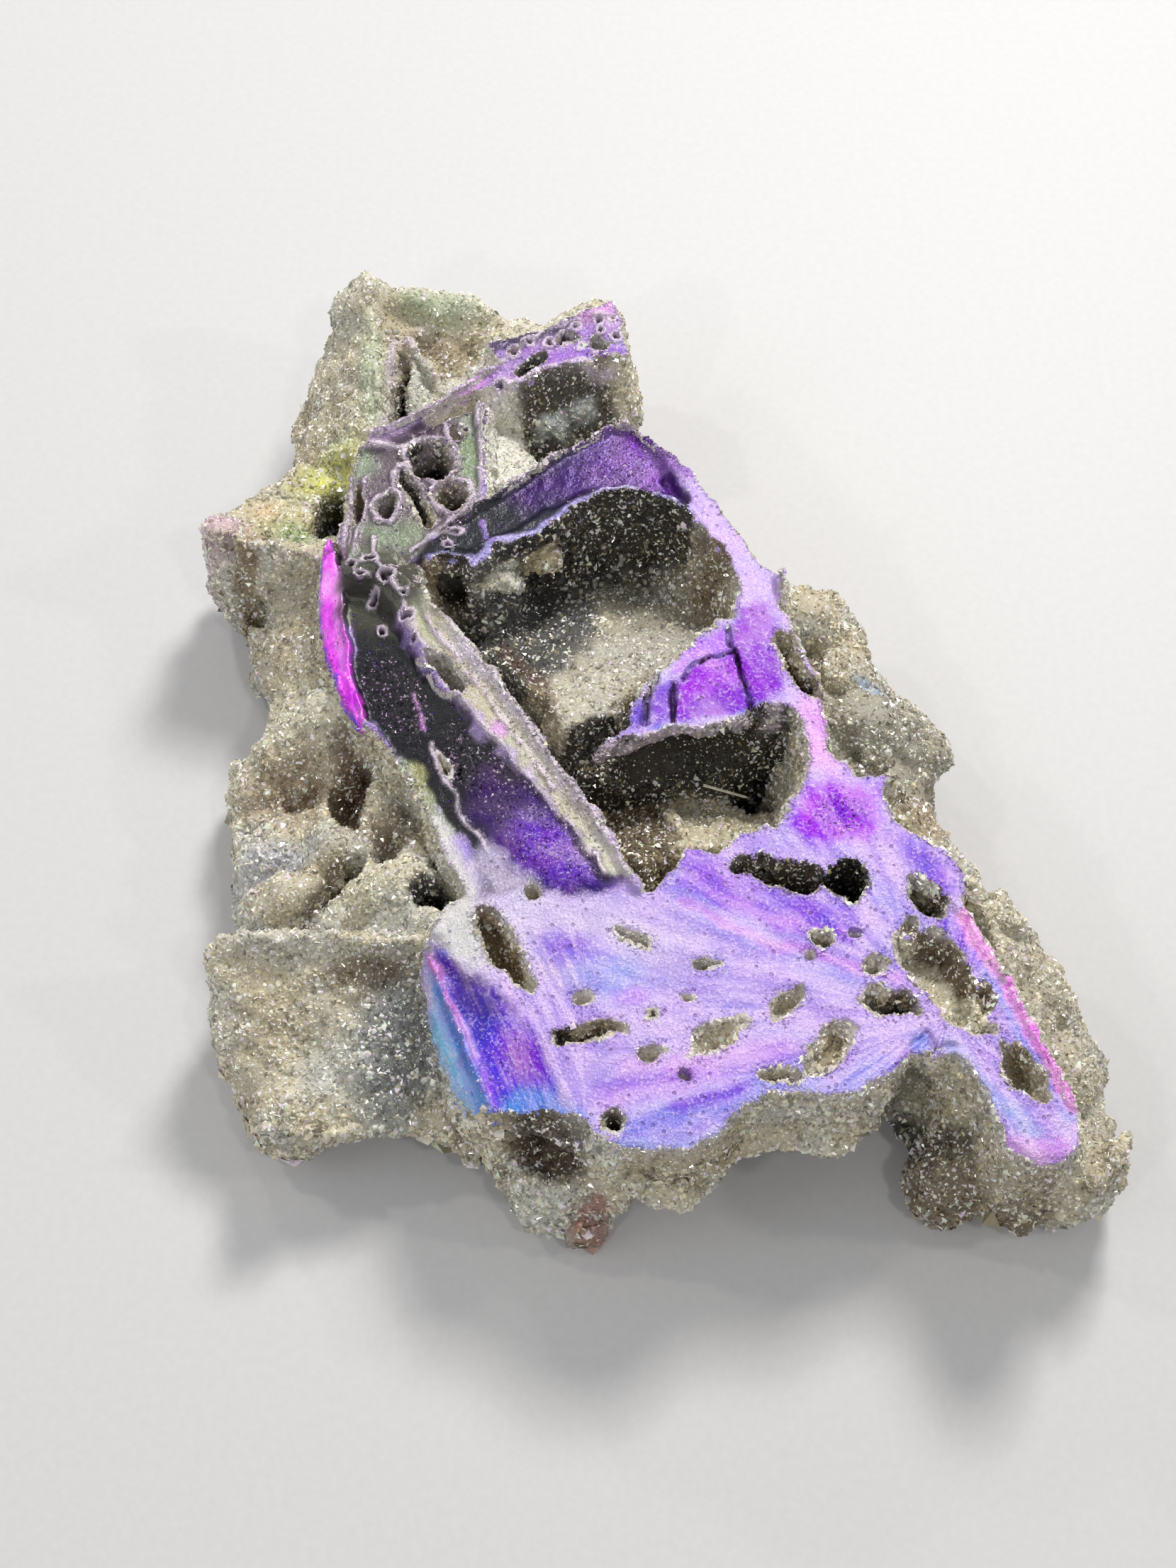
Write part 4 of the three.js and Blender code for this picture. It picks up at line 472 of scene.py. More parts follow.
# What colours the film, each paint over the ones before.
FILM_PAINTS = [
    patch(PALE, (-13, -24), (15, 6), -15, 0.6, 0.7),
    patch(PALE, (-24, -22), (7, 5), -40, 0.5, 0.9),
    patch((198, 199, 198), (-24.6, -24), (6, 4), -50, 0.5, 0.95),
    patch((104, 98, 104), (-27.6, -25.2), (1.5, 0.9), -40, 0.5, 0.6),
    patch(VIOLET, (-11.5, -26.3), (4.2, 2.0), -10, 0.7, 0.75),
    patch(BLUE, (-6, -30.2), (4.6, 2.8), -20, 0.8, 0.6),
    patch(VIVID, (-4.5, -32.5), (2.0, 1.2), 0, 0.6, 0.7),
    stripe(VIOLET, [(3.5, -15), (7, -17.4), (11, -19.8), (16, -21.5), (21, -22.3)], 1.5, 1.8, 0.85),
    stripe(VIVID, [(2, -17.5), (8, -20.6), (14, -23), (22, -25)], 0.5, 1.0, 0.6),
    stripe(BLUE, [(0, -17), (5, -21.5), (12, -26), (20, -29), (26, -31)], 0.8, 2.2, 0.3),
    stripe(PINK, [(2, -20), (10, -24.5), (18, -27.5), (27, -30.5)], 0.3, 1.0, 0.5),
    stripe(PINK, [(-5, -41.5), (2, -40.5), (9, -39.2), (14, -38.6)], 0.5, 1.6, 0.35),
    stripe(VIVID, [(-7, -44.5), (0, -43.5), (7, -42), (13, -40.2)], 0.9, 1.8, 0.4),
    stripe(BLUE, [(-4, -48.3), (2, -47), (8, -44.8), (15, -42.6)], 1.2, 2.4, 0.6),
    stripe(VIOLET, [(1, -46.3), (5, -45.2), (9, -43.8)], 0.5, 1.2, 0.7),
    stripe(SKY, [(-10, -49.5), (-7, -51.5), (-3, -50.8), (3, -51), (6.5, -49)], 0.4, 1.2, 0.35),
    stripe(SKY, [(9, -46.8), (12, -45.8), (16, -44.8)], 0.4, 1.2, 0.35),
    stripe(BLUE, [(17, -44.3), (21, -43.6), (25, -41.8)], 0.8, 2.0, 0.6),
    zone(PINK, [(17.5, 28), (10, 33), (16, 22), (20, 12), (17, 8), (18, -2), (24, -2), (22, 8)], 2.5,
        0.45),
    patch(PINK, (19.5, 3), (2.2, 5.5), 10, 0.6, 0.6),
    zone((166, 70, 226), [(17.2, -4.6), (22, -3.4), (26.5, -5.2), (27, -9), (25, -11.6), (19, -12.4),
        (16, -10.4)], 1.6, 1.0),
    zone(PURPLE, [(18.4, -6), (22, -5), (25, -6.6), (24.6, -10), (19.4, -11)], 1.6, 0.3),
    stripe(VIOLET, [(28, -11), (31, -14), (34, -18)], 0.9, 1.4, 0.7),
    stripe(BLUE, [(22, -14), (27, -21), (33, -25)], 0.6, 2.0, 0.35),
    stripe(VIOLET, [(33, -22.5), (36, -25.5), (38.5, -29.5)], 1.0, 1.3, 0.85),
    stripe((150, 156, 226), [(38.5, -29.5), (41.5, -35.5), (44.6, -42), (46, -46.5)], 0.9, 1.3, 0.9),
    stripe(SKY, [(33, -39), (37, -44), (41.5, -49.5)], 0.4, 1.4, 0.35),
    stripe((214, 158, 226), [(38.6, -50.5), (42, -51.6), (45, -51)], 0.8, 1.2, 0.7),
    stripe((246, 164, 238), [(36.2, -22.6), (38.6, -27.2), (41.1, -32.6), (43.8, -38.4), (46.4, -45.4)],
        1.3, 0.5, 1.0),
    zone(BLUE, [(28.4, -37.2), (30.2, -37), (31.2, -39), (29.6, -40.4), (28.2, -39)], 0.5, 0.9),
    stripe(LILAC, [(2.5, 43.2), (6, 40), (9, 36), (11.4, 30.8), (15, 26.4)], 1.6, 1.0, 1.0),
    stripe(BLUE, [(4, 45), (8, 40.5), (11, 36)], 0.6, 1.6, 0.55),
    stripe(VIVID, [(1.8, 45.4), (4.2, 43)], 0.9, 1.0, 0.8),
    zone((150, 82, 206), [(8.8, 18.9), (10, 22), (14.2, 22.4), (15.4, 17), (15.8, 9.8), (12.6, 7),
        (11.2, 6.2), (9.8, 13)], 0.8, 1.0),
    zone((152, 84, 210), [(1.6, 10.6), (5, 13.6), (8.8, 14.6), (9.8, 12), (11, 7), (10.4, 5), (1.6, 3.8)],
        0.4, 1.0),
    stripe((176, 96, 224), [(3, 9.6), (6, 12), (9, 12.6)], 1.2, 1.6, 0.6),
    patch(PURPLE, (7, 7.4), (3.4, 1.6), 10, 0.8, 0.35),
    zone((190, 140, 238), [(0.8, 12.4), (4, 16.2), (8.2, 19), (8.9, 15.2), (5, 14), (2.2, 11.8)], 0.4,
        1.0),
    zone((140, 104, 210), [(-1.6, 3.6), (-0.6, 9), (1.2, 10.8), (1.2, 3.6)], 0.35, 1.0),
    zone((140, 112, 208), [(-4.8, 3.4), (-3.6, 9.2), (-2.4, 8), (-2.9, 3.8)], 0.35, 1.0),
    stripe((160, 160, 230), [(-2, 3.8), (3, 4.1), (9, 5.4), (12.6, 7.2)], 0.3, 0.7, 0.7),
    stripe(LILAC, [(-13, 3), (-10, 1.8), (-6, 2.6), (-3, 3.2)], 0.9, 1.0, 0.8),
    stripe(PALE, [(10, 21), (7.6, 19.2), (4, 16.9), (1, 13.6), (-2, 9.8), (-5, 6.2)], 0.3, 0.8, 0.6),
    # The dark bar on the left of the crest: near-black where the film reflects no light, a painted dark
    # reflection.
    zone(DARK_REFLECTION, [(-41, 23), (-36, 22), (-31, 14), (-25.5, 7), (-19, -1), (-12, -8.5), (-5, -17),
        (-8, -19.5), (-16, -18.5), (-22, -19), (-24, -13), (-28, -7), (-34, 1), (-39.5, 9)], 0.8, 1.0),
    zone(PLUM, [(-23, -1), (-16, -5), (-9, -13), (-5, -18), (-12, -18.5), (-20, -15.5), (-24, -8)], 2.2,
        0.8),
    zone((98, 62, 160), [(-19, -7.5), (-13, -8), (-7.5, -15), (-6, -18.3), (-13, -18), (-18, -16),
        (-20, -11)], 2.2, 0.9),
    patch((142, 96, 206), (-13.5, -12.5), (4.2, 3.2), -40, 0.8, 0.6),
    stripe(DARK_REFLECTION, [(-13, -8.5), (-10, -12.5), (-7.5, -16.4)], 0.6, 0.9, 0.8),
    stripe(PALE, [(-22, -14), (-19.5, -17.5), (-17, -19)], 1.2, 1.8, 0.7),
    stripe(SAGE, [(-34, -0.5), (-30.5, -5), (-28, -10)], 1.3, 1.0, 0.9),
    stripe(OLIVE, [(-31.5, -1.2), (-29.6, -6.4)], 1.0, 0.8, 0.8),
    stripe(SILVER, [(-29, -9), (-26.5, -14), (-25, -19), (-27, -22)], 1.6, 1.0, 0.9),
    stripe(PINK, [(-31.8, 9.6), (-31.2, 7.2), (-30.4, 5)], 0.1, 0.25, 0.5),
    # The crest beside it.
    zone((190, 186, 164), [(-36, 29), (-30, 28), (-29, 22.5), (-24, 16), (-19, 8.5), (-14, 0.5),
        (-9.6, -6.8), (-4, -17.5), (-7.5, -15.5), (-13, -7.5), (-18, -1), (-23, 5), (-27, 10.5),
        (-30, 15), (-34, 21.5)], 0.6, 1.0),
    zone((216, 206, 226), [(-29, 22.5), (-24, 16), (-19, 8.5), (-14, 0.5), (-9.6, -6.8), (-4, -17.5),
        (-8, -11.5), (-12.6, -4.4), (-17, 2.5), (-21.5, 9), (-26, 15)], 1.2, 0.8),
    patch(PINK, (-21, 3.6), (1.3, 0.9), -50, 0.5, 0.8),
    stripe(SAGE, [(-33, 24), (-31, 19.5), (-29.4, 16)], 0.6, 1.0, 0.35),
    # The bar between the boxwork and the bowl: near-black on its left as a painted dark reflection, purple
    # toward its right.
    zone(DIM_REFLECTION, [(-33.5, 31.4), (-30, 34), (-26, 38), (-20, 42.4), (-16, 45.4), (-12, 49), (-8, 51.4),
        (-1, 51), (2.5, 44), (4, 38), (-5, 39.6), (-10, 38), (-14, 35), (-18, 32.4), (-24, 28), (-28, 29),
        (-31, 28)], 0.6, 1.0),
    zone(PLUM, [(-18, 37), (-20, 41), (-12, 47), (-8, 50.5), (-1, 50.5), (3, 43), (2, 40), (-6, 41.5),
        (-12, 40)], 2.5, 0.8),
    zone((82, 36, 130), [(-10.5, 41), (-10, 49.5), (-7, 51), (-1, 50.5), (3, 43), (3, 38.6), (-4, 40)],
        2.4, 0.95),
    zone((128, 62, 184), [(-6, 46), (-5, 50.5), (-1.5, 50), (1.8, 44), (2, 41), (-2, 43)], 2.4, 0.4),
    stripe((176, 168, 222), [(-30.9, 27.4), (-30, 29), (-27.2, 29.6), (-24, 28.6), (-21.5, 31.4),
        (-16.8, 33.4), (-12.1, 37), (-7.3, 39.2), (-3, 39.8), (1, 39.2), (3.6, 36.8)], 0.65, 0.6, 1.0),
    stripe((150, 120, 200), [(-23.6, 35.6), (-22.8, 33), (-21.6, 31)], 0.2, 0.4, 0.7),
    # The blade.
    zone(MAGENTA, [(-45.2, 33), (-43.6, 35), (-42.2, 28), (-41.2, 20), (-39.8, 12), (-37.6, 4), (-40, 5),
        (-42.6, 9.5), (-44.2, 15), (-45, 22)], 0.4, 1.0),
    stripe((132, 116, 230), [(-45.4, 31), (-45.2, 23), (-43.8, 15.5), (-41.6, 9.5), (-39, 5.4)], 0.3, 0.5,
        0.95),
    # A painted highlight along the blade.
    stripe((252, 176, 255), [(-42.6, 29), (-42, 20), (-40.8, 13)], 0.2, 0.5, 0.6),
    # The boxwork.
    zone(MAUVE, [(-43, 50.5), (-43, 34), (-42.5, 29), (-33.5, 29.5), (-24, 39), (-22.5, 57), (-30, 54)],
        0.8, 1.0),
    zone(SAGE, [(-40, 36), (-38, 32), (-33, 31.5), (-30, 34.5), (-33, 37), (-37, 35.5)], 1.6, 0.6),
    patch(SAGE, (-25.6, 47), (1.6, 6.5), 4, 0.6, 0.8),
    patch(SAGE, (-40.5, 46), (2, 2.5), 0, 0.6, 0.7),
    zone((70, 60, 72), [(-40, 48.8), (-36, 51), (-30.5, 54), (-29, 51), (-32, 50.2), (-35, 49)], 0.7,
        0.85),
    zone((88, 86, 76), [(-42.5, 33), (-36, 32.5), (-31, 28.5), (-31, 22), (-35, 19.5), (-41.6, 20.5)],
        1.0, 1.0),
    zone((48, 50, 46), [(-42, 29), (-37, 29), (-34, 25), (-34, 18), (-41.5, 18)], 2.2, 0.6),
    patch(SAGE, (-39, 30.4), (2.4, 1.6), 0, 0.7, 0.5),
    # The far band, with its bubbles.
    stripe((138, 108, 160), [(-39, 50.2), (-33, 53.6), (-28, 56.6), (-24, 60)], 1.6, 1.2, 0.85),
    stripe(PINK, [(-29, 55.4), (-25.5, 58), (-22.5, 61)], 0.8, 0.9, 0.8),
    stripe((158, 124, 190), [(-21, 60.5), (-14, 64.6), (-8, 68.5), (-5, 70)], 3.2, 1.4, 1.0),
    stripe((126, 72, 190), [(-16, 62.2), (-11, 64.2), (-5.5, 64)], 0.8, 0.9, 0.9),
    stripe((58, 50, 66), [(-24, 64.4), (-19, 66.6), (-14, 68.4), (-10, 70.2)], 0.9, 0.9, 0.9),
    stripe((206, 190, 214), [(-15, 68.8), (-11, 70), (-8, 70.8), (-6, 69)], 0.3, 0.8, 0.5),
    stripe(PINK, [(-10, 70.6), (-7, 72)], 1.0, 1.2, 0.6),
    # The fan.
    zone((120, 174, 252), [(-29.5, -27), (-29.2, -31), (-27.6, -36), (-25.6, -41), (-23.4, -45),
        (-20.5, -46.5), (-23, -38), (-26, -31.5)], 0.6, 1.0),
    stripe((150, 212, 252), [(-29.4, -29), (-28.3, -34), (-26.2, -39.5), (-23.8, -44.6)], 0.6, 0.9, 0.9),
    patch((216, 190, 226), (-29.4, -29.4), (1.2, 3.6), 12, 0.6, 0.8),
    stripe(BLUE, [(-27.2, -31), (-25, -36.5), (-22.4, -42)], 0.4, 0.8, 0.7),
    zone((140, 112, 232), [(-28, -26), (-24, -29.5), (-20.5, -31), (-16, -37), (-12.6, -43.6), (-12, -47),
        (-20, -47), (-21.5, -41), (-25, -33)], 0.7, 1.0),
    zone((86, 64, 140), [(-26.8, -28), (-22, -30), (-19.6, -34), (-22, -37), (-25.4, -33)], 1.8, 0.85),
    patch((152, 76, 204), (-17.4, -39.4), (3.4, 2.2), -50, 0.7, 0.7),
    stripe((110, 150, 238), [(-20, -46.6), (-17, -45.4), (-14, -45.6), (-11.5, -47.6)], 0.8, 2.0, 0.8),
    stripe((232, 158, 226), [(-28.6, -26.6), (-26.6, -30.6), (-24.9, -35), (-23, -39)], 0.12, 0.5, 0.8),
    stripe(VIVID, [(-23, -39), (-21, -43.6), (-20.4, -46)], 0.15, 0.5, 0.6),
]
# The cracks of the shelf are dark.
FILM_PAINTS += [stripe((58, 34, 72), crack["line"], 0.12, 0.25, 0.9)
                for name, crack in CRACKS.items() if name.startswith("shelf")]

# What colours the rock and its quartz points, with painted shade in its holes, slots and recesses.
ROCK_PAINTS = [
    patch((188, 202, 172), (-39.8, 62), (1.8, 9), 2, 0.6, 0.8),
    patch((186, 206, 172), (-31, 74.5), (6, 1.8), -15, 0.7, 0.7),
    patch(CHALK, (-42.5, 77), (3.6, 3), 0, 0.5, 0.6),
    patch((172, 164, 136), (-45, 62), (3.6, 12), 0, 0.7, 0.4),
    stripe(CHALK, [(-38, 78), (-31, 76.4), (-24, 74.6), (-18, 72.6)], 0.8, 1.2, 0.6),
    zone((206, 208, 198), [(-35, 69), (-31, 63.6), (-30.2, 57.4), (-34.4, 55.2), (-35, 62)], 0.6, 0.9),
    zone((138, 116, 84), [(-34.4, 70.6), (-30, 71.6), (-25, 70.4), (-25.5, 66.6), (-30.4, 65.4)], 1.2,
        0.6),
    zone((238, 238, 232), [(-30.8, 64), (-25, 66), (-21.6, 63), (-25, 58.8), (-29.8, 56)], 1.2, 0.9),
    # Painted shade in the slit beside the spine.
    patch((58, 46, 36), (-35.6, 61), (0.9, 5.6), -4, 0.5, 0.95),
    # The far pocket, dark with painted shade under the band's edge, and the pale slope beside it.
    zone((242, 240, 228), [(-24, 59), (-20, 59), (-17, 54), (-14, 48), (-20, 42), (-24, 40)], 0.8, 1.0),
    zone((50, 42, 36), [(-19.6, 59), (-14, 63), (-7, 63), (-5, 60), (-4.6, 53), (-10, 50), (-14.6, 49),
        (-16.6, 52), (-18.4, 56)], 0.9, 0.92),
    patch((84, 66, 48), (-8.6, 55), (3, 3), 20, 0.6, 0.7),
    patch((196, 204, 204), (-14.4, 57.9), (2.4, 1.9), 30, 0.3, 0.95, (17.2, 21.2)),
    patch((196, 204, 204), (-10.4, 60.5), (2.0, 1.6), 0, 0.3, 0.95, (17.8, 21.4)),
    # The left ledge, gold with green and peach, and the black hole beside it, black as painted shade.
    patch((208, 212, 178), (-45, 51.5), (4.4, 2.4), 30, 0.6, 0.8),
    patch((206, 208, 112), (-45.8, 48.4), (4.8, 3.2), 25, 0.7, 0.85),
    patch((232, 234, 136), (-44.8, 47.6), (2.8, 1.7), 25, 0.8, 0.8),
    patch((212, 202, 142), (-52.6, 41.2), (4.8, 2.8), -5, 0.7, 0.7),
    patch((230, 194, 160), (-54, 42), (2.4, 1.6), 0, 0.8, 0.55),
    patch((148, 172, 112), (-49, 37.4), (3.8, 1.7), -8, 0.7, 0.8),
    patch((226, 188, 216), (-59.2, 38), (3, 3), 0, 0.6, 0.6),
    patch(HOLE_SHADE, (-45, 42), (2.0, 4.4), -8, 0.4, 0.97),
    patch((146, 124, 92), (-57, 31.5), (1.6, 6), -28, 0.5, 0.85),
    patch((216, 212, 194), (-52, 30), (3, 4), -20, 0.6, 0.6),
    # The left flank.
    patch((216, 212, 190), (-46, 9.5), (7, 4.6), 20, 0.5, 0.7),
    patch((140, 108, 78), (-48, 1.5), (6, 4.5), 15, 0.7, 0.6),
    patch((92, 62, 42), (-40.4, 1.5), (2.2, 5.8), 10, 0.6, 0.9),
    patch((96, 78, 56), (-35, -6), (2.8, 3), 0, 0.6, 0.8),
    patch((206, 208, 218), (-50.5, -8.5), (4.4, 2.6), 10, 0.6, 0.8),
    stripe((84, 66, 48), [(-41.5, -11), (-43.5, -15), (-46, -20)], 0.7, 0.8, 0.85),
    patch((214, 210, 186), (-38.5, -15), (4, 3.4), 0, 0.6, 0.6),
    # Painted shade in the flank's hole.
    patch(HOLE_SHADE, (-29, -16.6), (2.5, 2.0), -35, 0.4, 0.97),
    patch((214, 216, 208), (-33, -20), (5, 1.8), 0, 0.6, 0.7),
    # The lower left block.
    # Grey, partly the rock's own and partly painted shade on the turned facet of the hollow slope.
    patch((122, 127, 130), (-33, -34.5), (5.6, 9), -15, 0.4, 0.9),
    # A painted shadow under the block's ridge.
    patch((104, 82, 58), (-36.5, -26.4), (5.5, 1.7), 5, 0.6, 0.8),
    patch((220, 222, 216), (-40, -36.5), (3.6, 3.6), 0, 0.6, 0.6),
    patch((196, 182, 150), (-49, -30), (5, 6), 0, 0.7, 0.6),
    # The right side.
    patch((158, 154, 142), (30, 7), (9, 11), -15, 0.4, 0.8),
    patch((176, 196, 226), (27.4, 15), (2.4, 0.9), -25, 0.5, 0.8),
    patch((188, 180, 162), (48, -32), (8, 18), 0, 0.6, 0.5),
    zone((164, 138, 110), [(30, -4), (36, 2), (38, -6), (34, -10)], 2.0, 0.6),
    zone((110, 90, 66), [(27, -41), (34, -44), (39, -53), (47, -54), (46, -58), (33, -58), (26, -50)],
        1.5, 0.8),
    patch((206, 198, 170), (33.4, -42.4), (3.6, 1.6), -45, 0.5, 0.8),
    # Painted shade in the cave under the spur.
    patch((58, 44, 34), (34.6, -46.2), (2.6, 1.6), 0, 0.5, 0.8),
    # A painted shadow in the notch.
    patch(HOLE_SHADE, (29.4, -43), (2.4, 3.0), 0, 0.4, 0.9, (-5, 22)),
    # The front foot.
    patch((210, 210, 198), (-15, -53), (6.5, 3.4), 0, 0.5, 0.9),
    # Painted shade in the recess under the film's edge, over the recess's own umber.
    patch((72, 52, 38), (-14.6, -47.2), (5.0, 2.6), -30, 0.5, 0.92),
    patch((164, 120, 108), (-9.2, -54.6), (2.6, 2.2), 0, 0.4, 0.9),
    # The bowl: painted shade along its back wall, dark slate on its left, paler toward the shelf, and
    # reddish umber in the gap by the crest.
    zone((70, 72, 78), [(-29, 22), (-26, 31), (-20, 35), (-14, 38), (-8, 33), (-8, 24), (-12, 17),
        (-19, 12), (-24, 17)], 2.0, 0.92),
    # Painted shade on the bowl's back wall.
    zone((30, 25, 22), [(-21, 31), (-17, 34.5), (-12, 39), (-5, 42), (2, 41.5), (6, 39), (9, 34),
        (4, 34.5), (-3, 36), (-10, 34), (-15, 30)], 1.4, 0.95),
    patch((116, 112, 102), (-2.5, 32), (5, 3.4), 10, 0.7, 0.85),
    patch((116, 94, 62), (8, 30), (3.2, 6), -15, 0.7, 0.85),
    patch((150, 142, 124), (1, 26), (7, 4), -10, 0.7, 0.85),
    patch((184, 180, 172), (-3, 18.6), (9, 5), 35, 0.7, 0.75),
    patch((200, 196, 182), (-10.5, 11.5), (4.5, 4), 20, 0.6, 0.8),
    stripe((96, 62, 46), [(-21, 22), (-17, 17), (-14.4, 10)], 0.8, 1.2, 0.65),
    # Painted shade in the cave under the bank.
    patch((44, 32, 24), (-27.6, 30.4), (3.2, 2.2), 0, 0.5, 0.95),
    patch((160, 136, 102), (-31, 29), (1.4, 1.6), 0, 0.5, 0.7),
    patch((220, 218, 204), (-21.6, 29.8), (3.8, 2.6), -20, 0.3, 1.0, (21, 24.4)),
    patch((200, 188, 156), (-15.6, 32.8), (2.8, 1.9), 30, 0.4, 0.9, (20.8, 23.8)),
    # The lower pit: near-black painted shadow under the shelf, with a pale floor on its right and a black
    # hole there, black as painted shade.
    zone((96, 80, 58), [(-13, 0), (-8, 1), (0, 1.6), (1.4, -3), (1.8, -8), (0, -15), (-3, -18), (-7, -11),
        (-11, -3)], 0.8, 0.9),
    zone((206, 196, 168), [(0.6, 1.6), (8, 2.4), (14, 3), (16.4, 0), (15.4, -5), (12, -9), (6, -12),
        (1.6, -11), (0.6, -3)], 0.8, 0.9),
    # The painted shadow under the shelf.
    zone((30, 26, 23), [(-15, 5), (-13, 6), (-8, 8), (4, 11), (14, 11), (16, 9.6), (16.6, 5.4), (13, 2.6),
        (6, 1.6), (-3, 0.2), (-9, -1.4), (-12, -2)], 0.6, 0.95),
    # Painted shade in the floor's hole.
    patch(HOLE_SHADE, (12.4, 2.0), (2.8, 1.6), -15, 0.3, 1.0),
    patch((176, 170, 152), (15.6, -2), (1.3, 4.4), 8, 0.5, 0.8),
    # The smaller vugs and holes, with painted shade: black in the deepest holes and darkest on their far
    # walls, over the druse's own tones.
    patch((24, 20, 26), (-17.5, 62.4), (3.4, 1.1), 38, 0.4, 0.95),
    patch((56, 48, 58), (-12.5, 66.5), (2.0, 1.0), 15, 0.4, 0.8),
    patch((56, 46, 52), (-8.2, 65.4), (1.4, 1.2), 0, 0.4, 0.85),
    patch((50, 34, 26), (14, -15.8), (6.8, 2.3), -10, 0.35, 0.94),
    patch(HOLE_SHADE, (22, -16.4), (3.2, 3.2), 60, 0.3, 1.0),
    patch(HOLE_SHADE, (-30.9, 46.8), (3.4, 2.8), -25, 0.3, 1.0),
    patch((84, 66, 46), (-27.6, 41), (2.2, 2.2), 0, 0.5, 0.9),
    patch((40, 34, 34), (-33.4, 42), (1.2, 3.2), 26, 0.5, 0.9),
    patch((96, 92, 88), (-36.6, 39), (1.6, 2.2), 0, 0.5, 0.85),
    patch((222, 214, 188), (32.6, -31.6), (6.2, 2.6), -55, 0.5, 0.9),
    stripe((92, 70, 46), [(29.4, -24), (34, -27), (38.4, -33.4)], 0.9, 0.8, 0.9),
    patch((66, 48, 34), (32.4, -20), (1.6, 2.2), -55, 0.4, 0.95),
    patch((120, 100, 70), (41.4, -40), (1.2, 3.4), 20, 0.5, 0.8),
    stripe((116, 90, 56), [(-22, -21.5), (-18.4, -29)], 1.2, 0.8, 0.85),
    patch((50, 36, 26), (27.6, -33.2), (1.8, 1.3), 0, 0.4, 0.95),
    patch(HOLE_SHADE, (-12.4, -36.8), (1.4, 1.0), 10, 0.4, 0.95),
    patch((128, 106, 74), (-8, -36.2), (3, 1.2), 14, 0.5, 0.8),
    patch((44, 32, 26), (-6.7, -47.2), (1.2, 1.2), 0, 0.5, 0.95),
    stripe((170, 156, 122), [(15.4, 18), (17, 14)], 1.2, 0.6, 0.8),
    patch((70, 50, 36), (18.4, 10.6), (1.4, 2.4), 24, 0.4, 0.95),
]


def smoothstep(value, low, high):
    t = np.clip((value - low) / (high - low), 0, 1)
    return t * t * (3 - 2 * t)


def mix(a, b, share):
    return a + (b - a) * share


LATTICE = np.random.default_rng(11).uniform(-1, 1, (64, 64, 64)).astype(np.float32)


def noise(points, size, layer=0):
    """Smooth noise from -1 to 1 at points (n, 3), with features of the given size."""
    place = points / size + 17.3 * layer
    corner = np.floor(place).astype(np.int64)
    part = place - corner
    part = part * part * (3 - 2 * part)
    total = np.zeros(len(points))
    for shift in itertools.product((0, 1), repeat=3):
        weight = np.prod(np.where(shift, part, 1 - part), axis=1)
        i, j, k = ((corner + shift) & 63).T
        total += weight * LATTICE[i, j, k]
    return total


def noise_flat(x, y, size, layer=0):
    """Smooth noise in plan."""
    return noise(np.stack([x, y, np.full_like(x, 3.7)], axis=1), size, layer)


def outline_distance(outline, x, y):
    """Distance of each (x, y) from a closed line of points, negative inside it."""
    nearest = np.full(x.shape, np.inf)
    inside = np.zeros(x.shape, bool)
    for (ax, ay), (bx, by) in zip(outline, outline[1:] + outline[:1]):
        ex, ey = bx - ax, by - ay
        t = np.clip(((x - ax) * ex + (y - ay) * ey) / (ex * ex + ey * ey), 0, 1)
        nearest = np.minimum(nearest, (x - ax - t * ex) ** 2 + (y - ay - t * ey) ** 2)
        if ey:
            inside ^= ((ay > y) != (by > y)) & (x < ex * (y - ay) / ey + ax)
    return np.sqrt(nearest) * np.where(inside, -1, 1)


def line_distance(line, x, y):
    """Distance of each (x, y) from an open line, and how far along it, from 0 to 1."""
    nearest = np.full(x.shape, np.inf)
    along = np.zeros(x.shape)
    for i, ((ax, ay), (bx, by)) in enumerate(zip(line, line[1:])):
        ex, ey = bx - ax, by - ay
        t = np.clip(((x - ax) * ex + (y - ay) * ey) / (ex * ex + ey * ey), 0, 1)
        distance = np.hypot(x - ax - t * ex, y - ay - t * ey)
        closer = distance < nearest
        nearest = np.where(closer, distance, nearest)
        along = np.where(closer, (i + t) / (len(line) - 1), along)
    return nearest, along


def oval_radius(at, half, turn, x, y):
    """Radius of each (x, y) in an oval's own units: 0 at its centre, 1 on its edge."""
    c, s = math.cos(math.radians(turn)), math.sin(math.radians(turn))
    u = (x - at[0]) * c + (y - at[1]) * s
    v = (y - at[1]) * c - (x - at[0]) * s
    return np.hypot(u / half[0], v / half[1])


def near(points, x, y, margin):
    """Indices of the (x, y) that lie within margin of the box round some points."""
    low, high = np.min(points, axis=0) - margin, np.max(points, axis=0) + margin
    return np.nonzero((x > low[0]) & (x < high[0]) & (y > low[1]) & (y < high[1]))[0]


def oval_box(at, half):
    """Two corners of the box round an oval, however it is turned."""
    reach = max(half)
    return [(at[0] - reach, at[1] - reach), (at[0] + reach, at[1] + reach)]


def wander(x, y):
    """Places shifted a little, so that no edge drawn in plan runs quite straight."""
    dx = 0.45 * noise_flat(x, y, 3.0, 1) + 0.28 * noise_flat(x, y, 1.2, 15)
    dy = 0.45 * noise_flat(x, y, 3.0, 2) + 0.28 * noise_flat(x, y, 1.2, 16)
    return x + dx, y + dy


